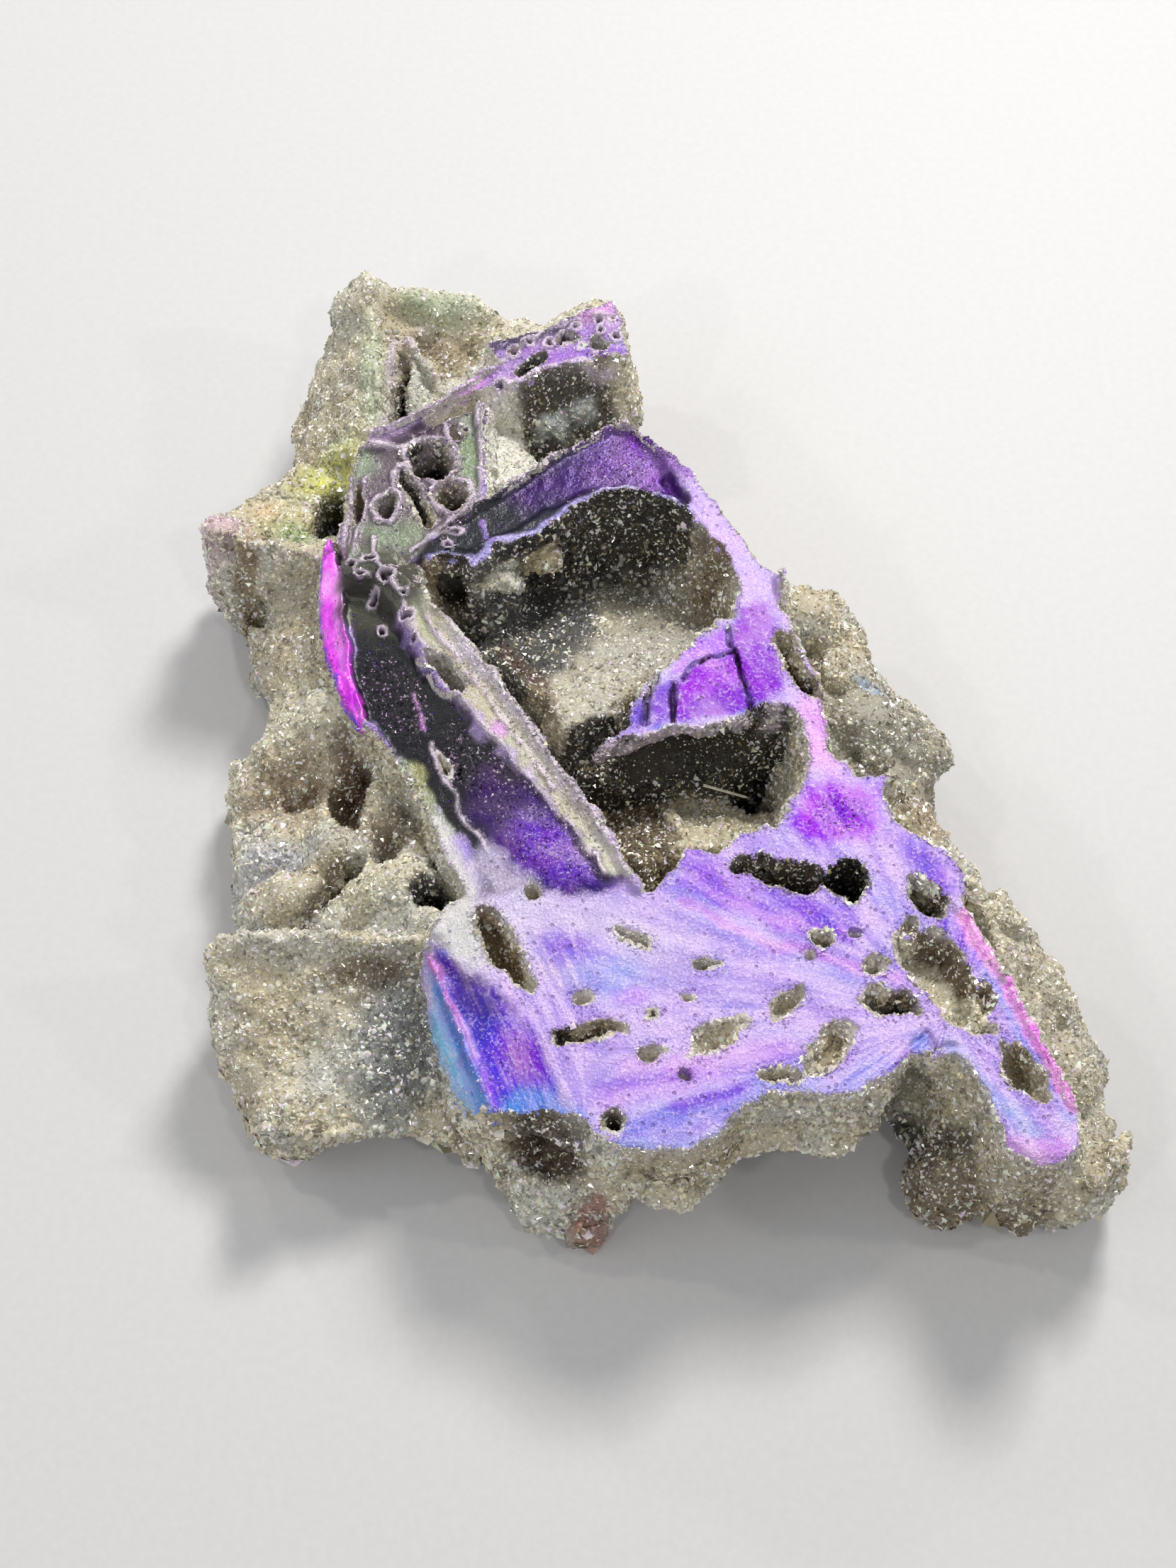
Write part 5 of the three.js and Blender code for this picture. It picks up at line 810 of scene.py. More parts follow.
def rings_at(x, y):
    """The share of ring wall, and of the cell inside a ring, at each (x, y)."""
    wall = np.zeros(x.shape)
    cell = np.zeros(x.shape)
    for cx, cy, radius in RINGS:
        i = near([(cx, cy)], x, y, radius + 0.6)
        distance = np.hypot(x[i] - cx, y[i] - cy) * (1 + 0.3 * noise_flat(x[i], y[i], 1.0, 25))
        wall[i] = np.maximum(wall[i], 1 - smoothstep(np.abs(distance - radius), 0.1, 0.4))
        cell[i] = np.maximum(cell[i], 1 - smoothstep(distance, 0.45 * radius, radius))
    return wall, cell


def ribs_at(x, y):
    """The height that the ribs add at each (x, y), and how much they show, as they are broken in places."""
    height = np.zeros(x.shape)
    shown = np.zeros(x.shape)
    for rib in RIBS.values():
        i = near(rib["line"], x, y, 2.2 * rib["half"])
        distance, _ = line_distance(rib["line"], x[i], y[i])
        broken = smoothstep(noise_flat(x[i], y[i], 1.4, 26), -0.5, 0.1)
        distance += 0.12 * noise_flat(x[i], y[i], 0.7, 27)
        share = (0.35 + 0.65 * broken) * (1 - smoothstep(distance, 0.3 * rib["half"], 2 * rib["half"]))
        height[i] = np.maximum(height[i], rib["height"] * share)
        shown[i] = np.maximum(shown[i], share)
    return height, shown


def lay_regions(x, y):
    """Height, share of film and share of vug floor of the regions alone."""
    z = np.full(x.shape, float(FLANK))
    film = np.zeros(x.shape)
    vug = np.zeros(x.shape)
    for part in REGIONS.values():
        soft = part["soft"]
        i = near(part["outline"], x, y, soft)
        distance = outline_distance(part["outline"], x[i], y[i])
        share = 1 - smoothstep(distance, -soft, soft)
        ax, ay, az = part["at"]
        plane = az + part["slope"][0] * (x[i] - ax) + part["slope"][1] * (y[i] - ay)
        z[i] = mix(z[i], plane, share)
        film[i] = mix(film[i], part["film"], share)
        vug[i] = mix(vug[i], part["vug"], share)
    return z, film, vug


def raise_walls(z, x, y):
    """Adds the crests, the ribs and the rings to the heights, and cuts the cracks."""
    for crest in CRESTS.values():
        i = near(crest["line"], x, y, max(crest["half"]))
        distance, along = line_distance(crest["line"], x[i], y[i])
        z[i] += crest["height"] * np.clip(1 - distance / mix(*crest["half"], along), 0, 1)
    z += ribs_at(x, y)[0]
    wall, cell = rings_at(x, y)
    z += 0.4 * wall - 1.2 * cell
    for crack in CRACKS.values():
        half = crack["half"]
        i = near(crack["line"], x, y, 1.5 * half)
        distance, _ = line_distance(crack["line"], x[i], y[i])
        z[i] -= crack["height"] * (1 - smoothstep(distance, 0.4 * half, 1.5 * half))


def top_at(x, y):
    """The top at each (x, y): its height, its share of film and its share of vug floor."""
    x, y = wander(x, y)
    z, film, vug = lay_regions(x, y)
    raise_walls(z, x, y)
    for lump in LUMPS.values():
        i = near(oval_box(lump["at"], lump["half"]), x, y, 0)
        radius = oval_radius(lump["at"], lump["half"], lump["turn"], x[i], y[i])
        z[i] += lump["height"] * np.clip(1 - radius * radius, 0, 1) ** 0.7
    for hollow in HOLLOWS.values():
        i = near(oval_box(hollow["at"], hollow["half"]), x, y, 1)
        radius = oval_radius(hollow["at"], hollow["half"], hollow["turn"], x[i], y[i])
        radius += 0.24 * noise_flat(x[i], y[i], 1.7, 19) + 0.14 * noise_flat(x[i], y[i], 0.8, 20)
        z[i] -= hollow["depth"] * (1 - smoothstep(radius, 0.45, 1.12))
        film[i] *= smoothstep(radius, 0.9, 1.12)
        vug[i] *= smoothstep(radius, 0.9, 1.12)
    z += (1 - film) * (0.9 * noise_flat(x, y, 7.0) + CRUST * vug) + 0.2 * noise_flat(x, y, 13.0, 1)
    return z, film, vug


def belly_at(x, y):
    """Height of the underside, before it is cut off level at the ground."""
    z = BELLY + 2.5 * noise_flat(x, y, 14.0, 3) + noise_flat(x, y, 6.0, 4)
    for arch in ARCHES.values():
        radius = oval_radius(arch["at"], arch["half"], arch["turn"], x, y)
        z += arch["rise"] * (1 - smoothstep(radius, 0.5, 1))
    for foot in FEET.values():
        radius = oval_radius(foot["at"], foot["half"], foot["turn"], x, y)
        z = mix(-1.5, z, smoothstep(radius, 0.35, 1.15))
    return z


def smooth_least(a, b, reach):
    """The lesser of two fields, rounded where they are within reach of each other."""
    close = np.clip(reach - np.abs(a - b), 0, None)
    return np.minimum(a, b) - close * close / (4 * reach)


def egg_field(body, x, y, z):
    """Depth below the surface of an egg-shaped body, negative outside it."""
    c, s = math.cos(math.radians(body["turn"])), math.sin(math.radians(body["turn"]))
    dx, dy, dz = x - body["at"][0], y - body["at"][1], z - body["at"][2]
    a, b, h = body["half"]
    radius = np.sqrt(((dx * c + dy * s) / a) ** 2 + ((dy * c - dx * s) / b) ** 2 + (dz / h) ** 2)
    return (1 - radius) * min(body["half"])


def box_slices(axes, low, high):
    """Slices of a lattice between two corners."""
    return tuple(slice(*np.searchsorted(axis, (a, b))) for axis, a, b in zip(axes, low, high))


def stone_field(axes):
    """Depth below the stone's surface on a lattice, positive in the stone."""
    x, y = np.meshgrid(axes[0], axes[1], indexing="ij")
    flat_x, flat_y = x.ravel(), y.ravel()
    top = top_at(flat_x, flat_y)[0].reshape(x.shape)
    belly = np.minimum(belly_at(flat_x, flat_y).reshape(x.shape), top - LEAST_THICKNESS)
    belly = np.maximum(belly, 0)
    side = -outline_distance(OUTLINE, flat_x, flat_y).reshape(x.shape)
    side += 0.7 * noise_flat(flat_x, flat_y, 2.4, 6).reshape(x.shape)
    slope = np.hypot(*np.gradient(top, STEP))
    steepness = 1 / np.sqrt(1 + np.minimum(slope, 3) ** 2)
    field = np.empty((*x.shape, len(axes[2])), np.float32)
    thickness = np.maximum(top - belly, 1)
    for k, z in enumerate(axes[2]):
        share = np.clip((top - z) / thickness, 0, 1)
        ripple = 0.8 * math.sin(z * 0.7) * np.sin(x * 0.31 + y * 0.27)
        swell = side + BULGE * np.sin(math.pi * share) + ripple
        field[..., k] = smooth_least(np.minimum((top - z) * steepness, z - belly), swell, 1.2)
    for knob in KNOBS.values():
        join_egg(field, axes, knob, 1)
    for cave in CAVES.values():
        join_egg(field, axes, cave, -1)
    for shaft in SHAFTS.values():
        cut_shaft(field, axes, shaft)
    return field


def join_egg(field, axes, body, sign):
    """Adds an egg-shaped body to the stone, or with sign -1 cuts it out."""
    reach = max(body["half"]) + 2
    at = np.array(body["at"])
    where = box_slices(axes, at - reach, at + reach)
    x, y, z = np.meshgrid(*(axis[s] for axis, s in zip(axes, where)), indexing="ij")
    places = np.stack([x, y, z], -1).reshape(-1, 3)
    depth = egg_field(body, x, y, z) + 0.5 * noise(places, 3.0, 8).reshape(x.shape)
    field[where] = -smooth_least(-sign * field[where], -depth, 1.5) * sign


def cut_shaft(field, axes, shaft):
    """Cuts a shaft with an uneven wall out of the stone, from its top to the ground."""
    cx, cy = shaft["at"]
    reach = max(shaft["top"], shaft["bottom"]) + 2
    where = box_slices(axes[:2], (cx - reach, cy - reach), (cx + reach, cy + reach))
    x, y, z = np.meshgrid(axes[0][where[0]], axes[1][where[1]], axes[2], indexing="ij")
    radius = mix(shaft["bottom"], shaft["top"], np.clip(z / FACE, 0, 1))
    radius += 0.32 * np.sin(1.3 * z + 2 * x)
    field[where] = np.minimum(field[where], np.hypot(x - cx, y - cy) - radius)


PINCH_PASSES = 4
FILL_DEPTH = 0.05
CORNERS = np.array(list(itertools.product((0, 1), repeat=3)))
PAIRS = itertools.combinations(range(8), 2)
EDGES = [(a, b) for a, b in PAIRS if np.abs(CORNERS[a] - CORNERS[b]).sum() == 1]


def fill_pinches(field):
    """Fills places that touch the rest only across a diagonal, where the surface would pinch."""
    first, last, every = slice(0, -1), slice(1, None), slice(None)
    for _ in range(PINCH_PASSES):
        inside = field > 0
        for axis in range(3):
            quarters = []
            for pair in ((first, first), (first, last), (last, first), (last, last)):
                where = list(pair)
                where.insert(axis, every)
                quarters.append(tuple(where))
            a, b, c, d = (inside[quarter] for quarter in quarters)
            for quarter, pinched in ((quarters[1], a & d & ~b & ~c), (quarters[0], b & c & ~a & ~d)):
                part = field[quarter]
                part[pinched] = FILL_DEPTH


def surface_of(field, axes):
    """Vertices and four-sided faces of the surface where a field on a lattice is zero."""
    inside = field > 0
    shape = tuple(n - 1 for n in field.shape)
    count = np.zeros(shape, np.int8)
    for corner in CORNERS:
        count += inside[tuple(slice(c, c + n) for c, n in zip(corner, shape))]
    cells = np.argwhere((count > 0) & (count < 8))
    values = np.stack([field[tuple((cells + corner).T)] for corner in CORNERS], axis=1)
    total = np.zeros((len(cells), 3))
    crossings = np.zeros(len(cells))
    for a, b in EDGES:
        crossed = (values[:, a] > 0) != (values[:, b] > 0)
        share = values[crossed, a] / (values[crossed, a] - values[crossed, b])
        total[crossed] += mix(CORNERS[a], CORNERS[b], share[:, None])
        crossings[crossed] += 1
    start = np.array([axis[0] for axis in axes])
    vertices = start + (cells + total / crossings[:, None]) * STEP
    number = np.full(shape, -1, np.int32)
    number[tuple(cells.T)] = np.arange(len(cells))
    return vertices, np.concatenate([faces_across(inside, number, axis) for axis in range(3)])


def faces_across(inside, number, axis):
    """The faces whose lattice edge runs along one axis."""
    here = [slice(1, -1)] * 3
    here[axis] = slice(0, -1)
    there = list(here)
    there[axis] = slice(1, None)
    a, b = inside[tuple(here)], inside[tuple(there)]
    edges = np.argwhere(a != b) + [int(i != axis) for i in range(3)]
    leaving = inside[tuple(edges.T)]
    u, v = [(1, 2), (2, 0), (0, 1)][axis]
    faces = []
    for du, dv in ((-1, -1), (0, -1), (0, 0), (-1, 0)):
        cell = edges.copy()
        cell[:, u] += du
        cell[:, v] += dv
        faces.append(number[tuple(cell.T)])
    faces = np.stack(faces, axis=1)
    return np.where(leaving[:, None], faces, faces[:, ::-1])


def mesh_of(name, vertices, faces):
    """A mesh object in the row frame from plan vertices in millimetres and equal-sided faces."""
    mesh = bpy.data.meshes.new(name)
    corners = faces.shape[1]
    mesh.vertices.add(len(vertices))
    mesh.vertices.foreach_set("co", ((vertices - (*MIDDLE, 0)) * MM).astype(np.float32).ravel())
    mesh.loops.add(faces.size)
    mesh.loops.foreach_set("vertex_index", faces.astype(np.int32).ravel())
    mesh.polygons.add(len(faces))
    mesh.polygons.foreach_set("loop_start", np.arange(0, faces.size, corners, dtype=np.int32))
    mesh.update(calc_edges=True)
    mesh.validate()
    thing = bpy.data.objects.new(name, mesh)
    bpy.context.scene.collection.objects.link(thing)
    return thing


def plan_of(mesh):
    """A mesh's vertices in plan, in millimetres, and its vertex normals."""
    co = np.empty(len(mesh.vertices) * 3, np.float32)
    mesh.vertices.foreach_get("co", co)
    normals = np.empty(len(mesh.vertices) * 3, np.float32)
    mesh.vertex_normals.foreach_get("vector", normals)
    return co.reshape(-1, 3) / MM + (*MIDDLE, 0), normals.reshape(-1, 3)


def set_plan(mesh, vertices):
    """Moves a mesh's vertices to places in plan, in millimetres."""
    mesh.vertices.foreach_set("co", ((vertices - (*MIDDLE, 0)) * MM).astype(np.float32).ravel())
    mesh.update()


def film_round(points, reach):
    """Mean share of film on the top at eight places a reach away from each point."""
    x, y = points[:, 0], points[:, 1]
    turns = np.arange(8) * math.pi / 4
    shares = [top_at(x + reach * math.cos(t), y + reach * math.sin(t))[1] for t in turns]
    return np.mean(shares, axis=0)


def film_on(points, normals):
    """Share of film on the stone at points of its surface."""
    z, film, _ = top_at(points[:, 0], points[:, 1])
    film *= 1 - smoothstep(z - points[:, 2], 1.2, 2.2)
    steep = np.nonzero((normals[:, 2] < 0.85) & (film > 0.05))[0]
    amid = smoothstep(film_round(points[steep], 1.5), 0.8, 0.95)
    for name in ("blade", "fan_outer"):
        depth = -outline_distance(REGIONS[name]["outline"], points[steep, 0], points[steep, 1])
        amid = np.maximum(amid, smoothstep(depth, -0.6, 0.2))
    tilt = normals[steep, 2]
    film[steep] *= mix(smoothstep(tilt, 0.5, 0.8), smoothstep(tilt, -0.1, 0.12), amid)
    return film


def roughen(mesh):
    """Moves the stone's vertices along their normals: lumps on the rock, hardly anything on the film."""
    points, normals = plan_of(mesh)
    film = film_on(points, normals)
    lumps = 0.6 * noise(points, 4.3, 3) + 0.5 * noise(points, 2.0, 4) + 0.35 * noise(points, 1.0, 5)
    grain = 0.05 * noise(points, 1.6, 6) + 0.04 * noise(points, 0.8, 7)
    points += normals * mix(lumps, grain, film)[:, None]
    points[:, 2] = np.maximum(points[:, 2], 0)
    set_plan(mesh, points)


def thin_out(stone, triangles):
    """Joins faces of the stone where it is plain rock, until it has at most that many triangles."""
    mesh = stone.data
    now = 2 * len(mesh.polygons)
    if now <= triangles:
        return
    points, normals = plan_of(mesh)
    film = film_on(points, normals)
    group = stone.vertex_groups.new(name="thinning")
    for weight in (0.0, 0.5, 1.0):
        chosen = np.nonzero(np.round(film * 2) / 2 == weight)[0]
        group.add(chosen.tolist(), 1 - 0.9 * weight, "REPLACE")
    fewer = stone.modifiers.new("fewer", "DECIMATE")
    fewer.ratio = triangles / now
    fewer.vertex_group = "thinning"
    fewer.vertex_group_factor = 1
    fewer.use_collapse_triangulate = True
    bpy.context.view_layer.update()
    evaluated = stone.evaluated_get(bpy.context.evaluated_depsgraph_get())
    thinned = bpy.data.meshes.new_from_object(evaluated)
    stone.modifiers.clear()
    stone.vertex_groups.clear()
    stone.data = thinned
    bpy.data.meshes.remove(mesh)
    points, _ = plan_of(thinned)
    points[:, 2] = np.maximum(points[:, 2], 0)
    set_plan(thinned, points)


def make_stone():
    """The whole stone, without its quartz points."""
    axes = [np.arange(a, b, STEP) for a, b in zip(LOW, HIGH)]
    field = stone_field(axes)
    fill_pinches(field)
    vertices, faces = surface_of(field, axes)
    stone = mesh_of("filmed_stone", vertices, faces)
    roughen(stone.data)
    thin_out(stone, STONE_TRIANGLES)
    return stone


def triangles_of(mesh):
    """A mesh's triangles as vertex numbers."""
    mesh.calc_loop_triangles()
    triangles = np.empty(len(mesh.loop_triangles) * 3, np.int32)
    mesh.loop_triangles.foreach_get("vertices", triangles)
    return triangles.reshape(-1, 3)


def skin_of(thing):
    """An object's vertices in plan, their normals, and its triangles."""
    return (*plan_of(thing.data), triangles_of(thing.data))


def sites_on(surface, spacing, wanted, draw):
    """Places and normals about spacing apart on a surface, each kept with the chance that wanted gives."""
    points, normals, triangles = surface
    a, b, c = (points[triangles[:, i]] for i in range(3))
    area = np.linalg.norm(np.cross(b - a, c - a), axis=1) / 2
    reach = np.cumsum(area)
    count = int(reach[-1] / spacing**2 * SITE_TRIES)
    chosen = triangles[np.searchsorted(reach, draw.uniform(0, reach[-1], count))]
    u, v = draw.uniform(0, 1, (2, count, 1))
    u, v = np.where(u + v > 1, 1 - u, u), np.where(u + v > 1, 1 - v, v)
    weights = (1 - u - v, u, v)
    place = sum(w * points[chosen[:, i]] for i, w in enumerate(weights))
    normal = sum(w * normals[chosen[:, i]] for i, w in enumerate(weights))
    normal /= np.linalg.norm(normal, axis=1, keepdims=True) + 1e-9
    kept = draw.uniform(0, 1, count) < wanted(place, normal)
    place, normal = place[kept], normal[kept]
    cell = np.floor(place / (0.82 * spacing)).astype(np.int64) + 512
    _, first = np.unique(cell[:, 0] * 2**22 + cell[:, 1] * 2**11 + cell[:, 2], return_index=True)
    return place[first], normal[first]


def turned_to(normals, tilt, draw):
    """Rotations (n, 3, 3) that take +Z near each normal, tilted at random and turned about themselves."""
    axis = normals + tilt * draw.normal(0, 1, normals.shape)
    axis /= np.linalg.norm(axis, axis=1, keepdims=True)
    side = np.cross(axis, draw.normal(0, 1, axis.shape))
    side /= np.linalg.norm(side, axis=1, keepdims=True)
    return np.stack([side, np.cross(axis, side), axis], axis=2)


def three_sided():
    """Unit vertices and triangles of a closed point with three large faces."""
    turn = np.arange(3) * math.tau / 3
    vertices = [(math.cos(t), math.sin(t), 0) for t in turn] + [(0, 0, 1)]
    return np.array(vertices, float), np.array([(0, 2, 1), (0, 1, 3), (1, 2, 3), (2, 0, 3)])


def six_sided(levels):
    """Unit vertices and triangles of a closed six-sided point: rings at the levels, and a tip at 1."""
    turn = np.arange(6) * math.pi / 3
    ring = np.stack([np.cos(turn), np.sin(turn)], axis=1)
    vertices = [(*place, level) for level in levels for place in ring] + [(0, 0, 1)]
    tip = len(vertices) - 1
    triangles = [(0, i + 1, i) for i in range(1, 5)]
    for base in range(0, 6 * (len(levels) - 1), 6):
        for i in range(6):
            a, b = base + i, base + (i + 1) % 6
            triangles += [(a, b, b + 6), (a, b + 6, a + 6)]
    last = 6 * (len(levels) - 1)
    triangles += [(last + i, last + (i + 1) % 6, tip) for i in range(6)]
    return np.array(vertices, float), np.array(triangles)


def points_at(sites, shape, tilt, draw):
    """A quartz point at each site: their vertices, their triangles and each triangle's site."""
    place, normal, width, height = sites
    unit, triangles = shape
    count = len(place)
    size = np.stack([width, width, height], axis=1)[:, None, :]
    wobble = 1 + 0.22 * draw.uniform(-1, 1, (count, len(unit), 1)) * [1, 1, 0]
    turned = np.einsum("nij,nkj->nki", turned_to(normal, tilt, draw), unit * size * wobble)
    sunk = place - normal * (0.3 * width)[:, None]
    vertices = (sunk[:, None, :] + turned).reshape(-1, 3)
    vertices[:, 2] = np.maximum(vertices[:, 2], 0.02)
    faces = (triangles[None] + np.arange(count)[:, None, None] * len(unit)).reshape(-1, 3)
    return vertices, faces, np.repeat(np.arange(count), len(triangles))


def points_mesh(name, sites, shapes, tilt, draw):
    """Joins a quartz point at each site, of shapes with their shares. Returns each facet's site too."""
    kinds = draw.choice(len(shapes), len(sites[0]), p=[share for _, share in shapes])
    vertices, faces, owners, start = [], [], [], 0
    for kind, (shape, _) in enumerate(shapes):
        chosen = np.nonzero(kinds == kind)[0]
        some_vertices, some_faces, owner = points_at([part[chosen] for part in sites], shape, tilt, draw)
        vertices.append(some_vertices)
        faces.append(some_faces + start)
        owners.append(chosen[owner])
        start += len(some_vertices)
    points = mesh_of(name, np.concatenate(vertices), np.concatenate(faces))
    points.data.shade_flat()
    return points, np.concatenate(owners)


def give(mesh, name, values, domain="POINT"):
    """Stores a number or a colour for each vertex, or with domain FACE for each facet."""
    kind = "FLOAT" if values.ndim == 1 else "FLOAT_COLOR"
    attribute = mesh.attributes.new(name, kind, domain)
    if values.ndim == 2:
        values = np.concatenate([values, np.ones((len(values), 1))], axis=1)
        attribute.data.foreach_set("color", values.astype(np.float32).ravel())
    else:
        attribute.data.foreach_set("value", values.astype(np.float32))


def linear(colour):
    """An sRGB colour, 0 to 255, as linear numbers from 0 to 1."""
    c = np.array(colour) / 255
    return np.where(c > 0.04045, ((c + 0.055) / 1.055) ** 2.4, c / 12.92)


def paint_share(paint, x, y, ragged):
    """How much of a paint there is at each (x, y), from 0 to 1."""
    kind, soft = paint["kind"], paint["soft"]
    if kind == "patch":
        radius = oval_radius(paint["at"], paint["half"], paint["turn"], x, y)
        share = 1 - smoothstep(radius + 0.12 * ragged, 1 - soft, 1 + soft)
    elif kind == "zone":
        share = 1 - smoothstep(outline_distance(paint["points"], x, y) + 0.5 * ragged, -soft, soft)
    else:
        distance, _ = line_distance(paint["points"], x, y)
        share = 1 - smoothstep(distance + 0.25 * ragged, paint["half"] * 0.6, paint["half"] + soft)
    return share * paint["share"]


def paint_reach(paint):
    """Points whose box, with a margin, holds all of a paint."""
    if paint["kind"] == "patch":
        return oval_box(paint["at"], paint["half"]), 0.8 * max(paint["half"])
    return paint["points"], paint["soft"] + paint.get("half", 0) + 1


def painted(points, ground, paints):
    """Linear colours at points: the ground's under the paints, with the ribs and the rings over them."""
    x, y = wander(points[:, 0], points[:, 1])
    colours = ground.copy()
    ragged = noise_flat(x, y, 1.7, 9) + 0.6 * noise_flat(x, y, 0.7, 10)
    for paint in paints:
        where, margin = paint_reach(paint)
        i = near(where, x, y, margin)
        share = paint_share(paint, x[i], y[i], ragged[i])
        if "heights" in paint:
            low, high = paint["heights"]
            z = points[i, 2]
            share *= smoothstep(z, low - 0.8, low) * smoothstep(z, high + 0.8, high)
        colours[i] = mix(colours[i], linear(paint["colour"]), share[:, None])
    high = smoothstep(points[:, 2], 20.5, 22.5)
    colours = mix(colours, linear(RIM), (0.9 * high * ribs_at(x, y)[1])[:, None])
    wall, cell = rings_at(x, y)
    colours = mix(colours, linear(DIM), (0.8 * high * cell)[:, None])
    return mix(colours, linear(RIM), (0.75 * high * wall)[:, None])


def film_colours(points):
    """Colours of the film: its paints over lilac."""
    return painted(points, np.tile(linear(LILAC), (len(points), 1)), FILM_PAINTS)


class Relief:
    """Heights of the top on a lattice, and how far each place lies below the ground round it."""

    def __init__(self, step=0.8, reach=6):
        self.step = step
        self.start = np.array(LOW[:2])
        axes = [np.arange(a, b, step) for a, b in zip(LOW[:2], HIGH[:2])]
        x, y = np.meshgrid(*axes, indexing="ij")
        top = top_at(x.ravel(), y.ravel())[0].reshape(x.shape)
        inside = outline_distance(OUTLINE, x.ravel(), y.ravel()).reshape(x.shape) < 0
        top = np.where(inside, top, BESIDE)
        width = int(reach / step)
        for axis in (0, 1):
            margins = [(0, 0), (0, 0)]
            margins[axis] = (width, width)
            total = np.cumsum(np.pad(top, margins, mode="edge"), axis)
            far = np.take(total, range(2 * width, total.shape[axis]), axis)
            near_end = np.take(total, range(0, total.shape[axis] - 2 * width), axis)
            top = (far - near_end) / (2 * width)
        self.mean = top

    def sink(self, points):
        """How far points lie below the mean height round them."""
        place = (points[:, :2] - self.start) / self.step
        i, j = np.clip(np.round(place).astype(int), 0, np.array(self.mean.shape) - 1).T
        return self.mean[i, j] - points[:, 2]


def rock_colours_and_shade(points, relief):
    """The rock's colours: its paints over sand and mist, with painted shade, browner then darker, in
    hollows and under ledges.
    """
    cloud = smoothstep(noise(points, 8.0, 11), -0.1, 0.5)
    ground = mix(linear(SAND), linear(TAN), 0.5 * cloud[:, None])
    cool = smoothstep(noise(points, 5.0, 12), 0.0, 0.5)
    ground = mix(ground, linear(MIST), 0.5 * cool[:, None])
    amid = film_round(points, 1.6)
    high = smoothstep(points[:, 2], FACE - 4, FACE - 1.5)
    fringe = smoothstep(amid + 0.2 * noise(points, 2.0, 14), 0.2, 0.7) * high
    colours = mix(ground, linear(FROST), 0.7 * fringe[:, None])
    # Painted shade by how far a place lies below the rock round it: the umber step is partly the druse's
    # own tone, the darker step all shade.
    sink = relief.sink(points) + 1.2 * noise(points, 3.0, 13)
    top_side = smoothstep(points[:, 2], 6, 12)
    wide = 1 - 0.5 * smoothstep(amid, 0.3, 0.7)
    umber_and_shade = smoothstep(sink, 0.5, 5.0) * top_side * wide
    colours = mix(colours, linear(UMBER), 0.45 * umber_and_shade[:, None])
    deep_shade = smoothstep(sink, 4.0, 9.0) * top_side * wide
    return painted(points, mix(colours, linear(DUST_AND_SHADE), 0.55 * deep_shade[:, None]), ROCK_PAINTS)


def facet_tints_and_painted_glints(colours, owner, painted_glint_share, draw):
    """Colours of the points' facets: near each point's own, and pale where a painted glint stands for light
    caught.

    Its share argument is the share of facets given a painted glint, besides some whole points. None do in
    the blackest holes.
    """
    count = len(owner)
    light = draw.uniform(0.8, 1.2, (count, 1))
    pale = np.array([linear(tone) for tone in PAINTED_GLINT_TONES])[draw.integers(0, len(PAINTED_GLINT_TONES), count)]
    chance = painted_glint_share * smoothstep(colours.mean(axis=1), 0.004, 0.03)
    whole = draw.uniform(0, 1, len(colours)) < 0.9 * chance
    # Painted glints: single facets, and whole points, take a pale tone that stands for light caught.
    painted_glint = (draw.uniform(0, 1, count) < chance[owner]) | whole[owner]
    return np.clip(np.where(painted_glint[:, None], pale, colours[owner] * light), 0, 1)


def tree_of(name):
    """A new material with its Principled shader."""
    material = bpy.data.materials.new(name)
    material.use_nodes = True
    return material, material.node_tree.nodes["Principled BSDF"]


class Wires:
    """Adds shader nodes to a material and wires them."""

    def __init__(self, material):
        self.nodes = material.node_tree.nodes
        self.links = material.node_tree.links

    def add(self, kind, settings=None, **inputs):
        """A node with its settings and inputs. An input is named, or _ and its number."""
        node = self.nodes.new("ShaderNode" + kind)
        for key, value in (settings or {}).items():
            setattr(node, key, value)
        for key, value in inputs.items():
            socket = int(key[1:]) if key[0] == "_" else key.replace("_", " ")
            self.feed(node.inputs[socket], value)
        return node

    def feed(self, socket, value):
        """Wires a socket, or sets it to a constant."""
        if isinstance(value, bpy.types.NodeSocket):
            self.links.new(value, socket)
        else:
            socket.default_value = value

    def math(self, operation, a, b):
        return self.add("Math", {"operation": operation}, _0=a, _1=b).outputs[0]

    def plus(self, a, b):
        return self.math("ADD", a, b)

    def minus(self, a, b):
        return self.math("SUBTRACT", a, b)

    def times(self, a, b):
        return self.math("MULTIPLY", a, b)

    def attribute(self, name, output="Fac"):
        return self.add("Attribute", {"attribute_name": name}).outputs[output]

    def position(self):
        return self.add("TexCoord").outputs["Object"]

    def noise(self, vector, scale, detail=3.0, rough=0.6):
        inputs = dict(Vector=vector, Scale=scale, Detail=detail, Roughness=rough)
        return self.add("TexNoise", **inputs).outputs["Fac"]

    def ramp(self, value, low, high):
        """Goes smoothly from 0 where the value is low to 1 where it is high."""
        settings = {"interpolation_type": "SMOOTHSTEP"}
        return self.add("MapRange", settings, Value=value, From_Min=low, From_Max=high).outputs[0]

    def mix(self, share, a, b):
        node = self.add("Mix", {"data_type": "RGBA"})
        self.feed(node.inputs["Factor"], share)
        self.feed(node.inputs[6], a)
        self.feed(node.inputs[7], b)
        return node.outputs[2]

    def toward(self, share, colour, paint):
        """A colour mixed towards an sRGB paint."""
        return self.mix(share, colour, (*linear(paint), 1))


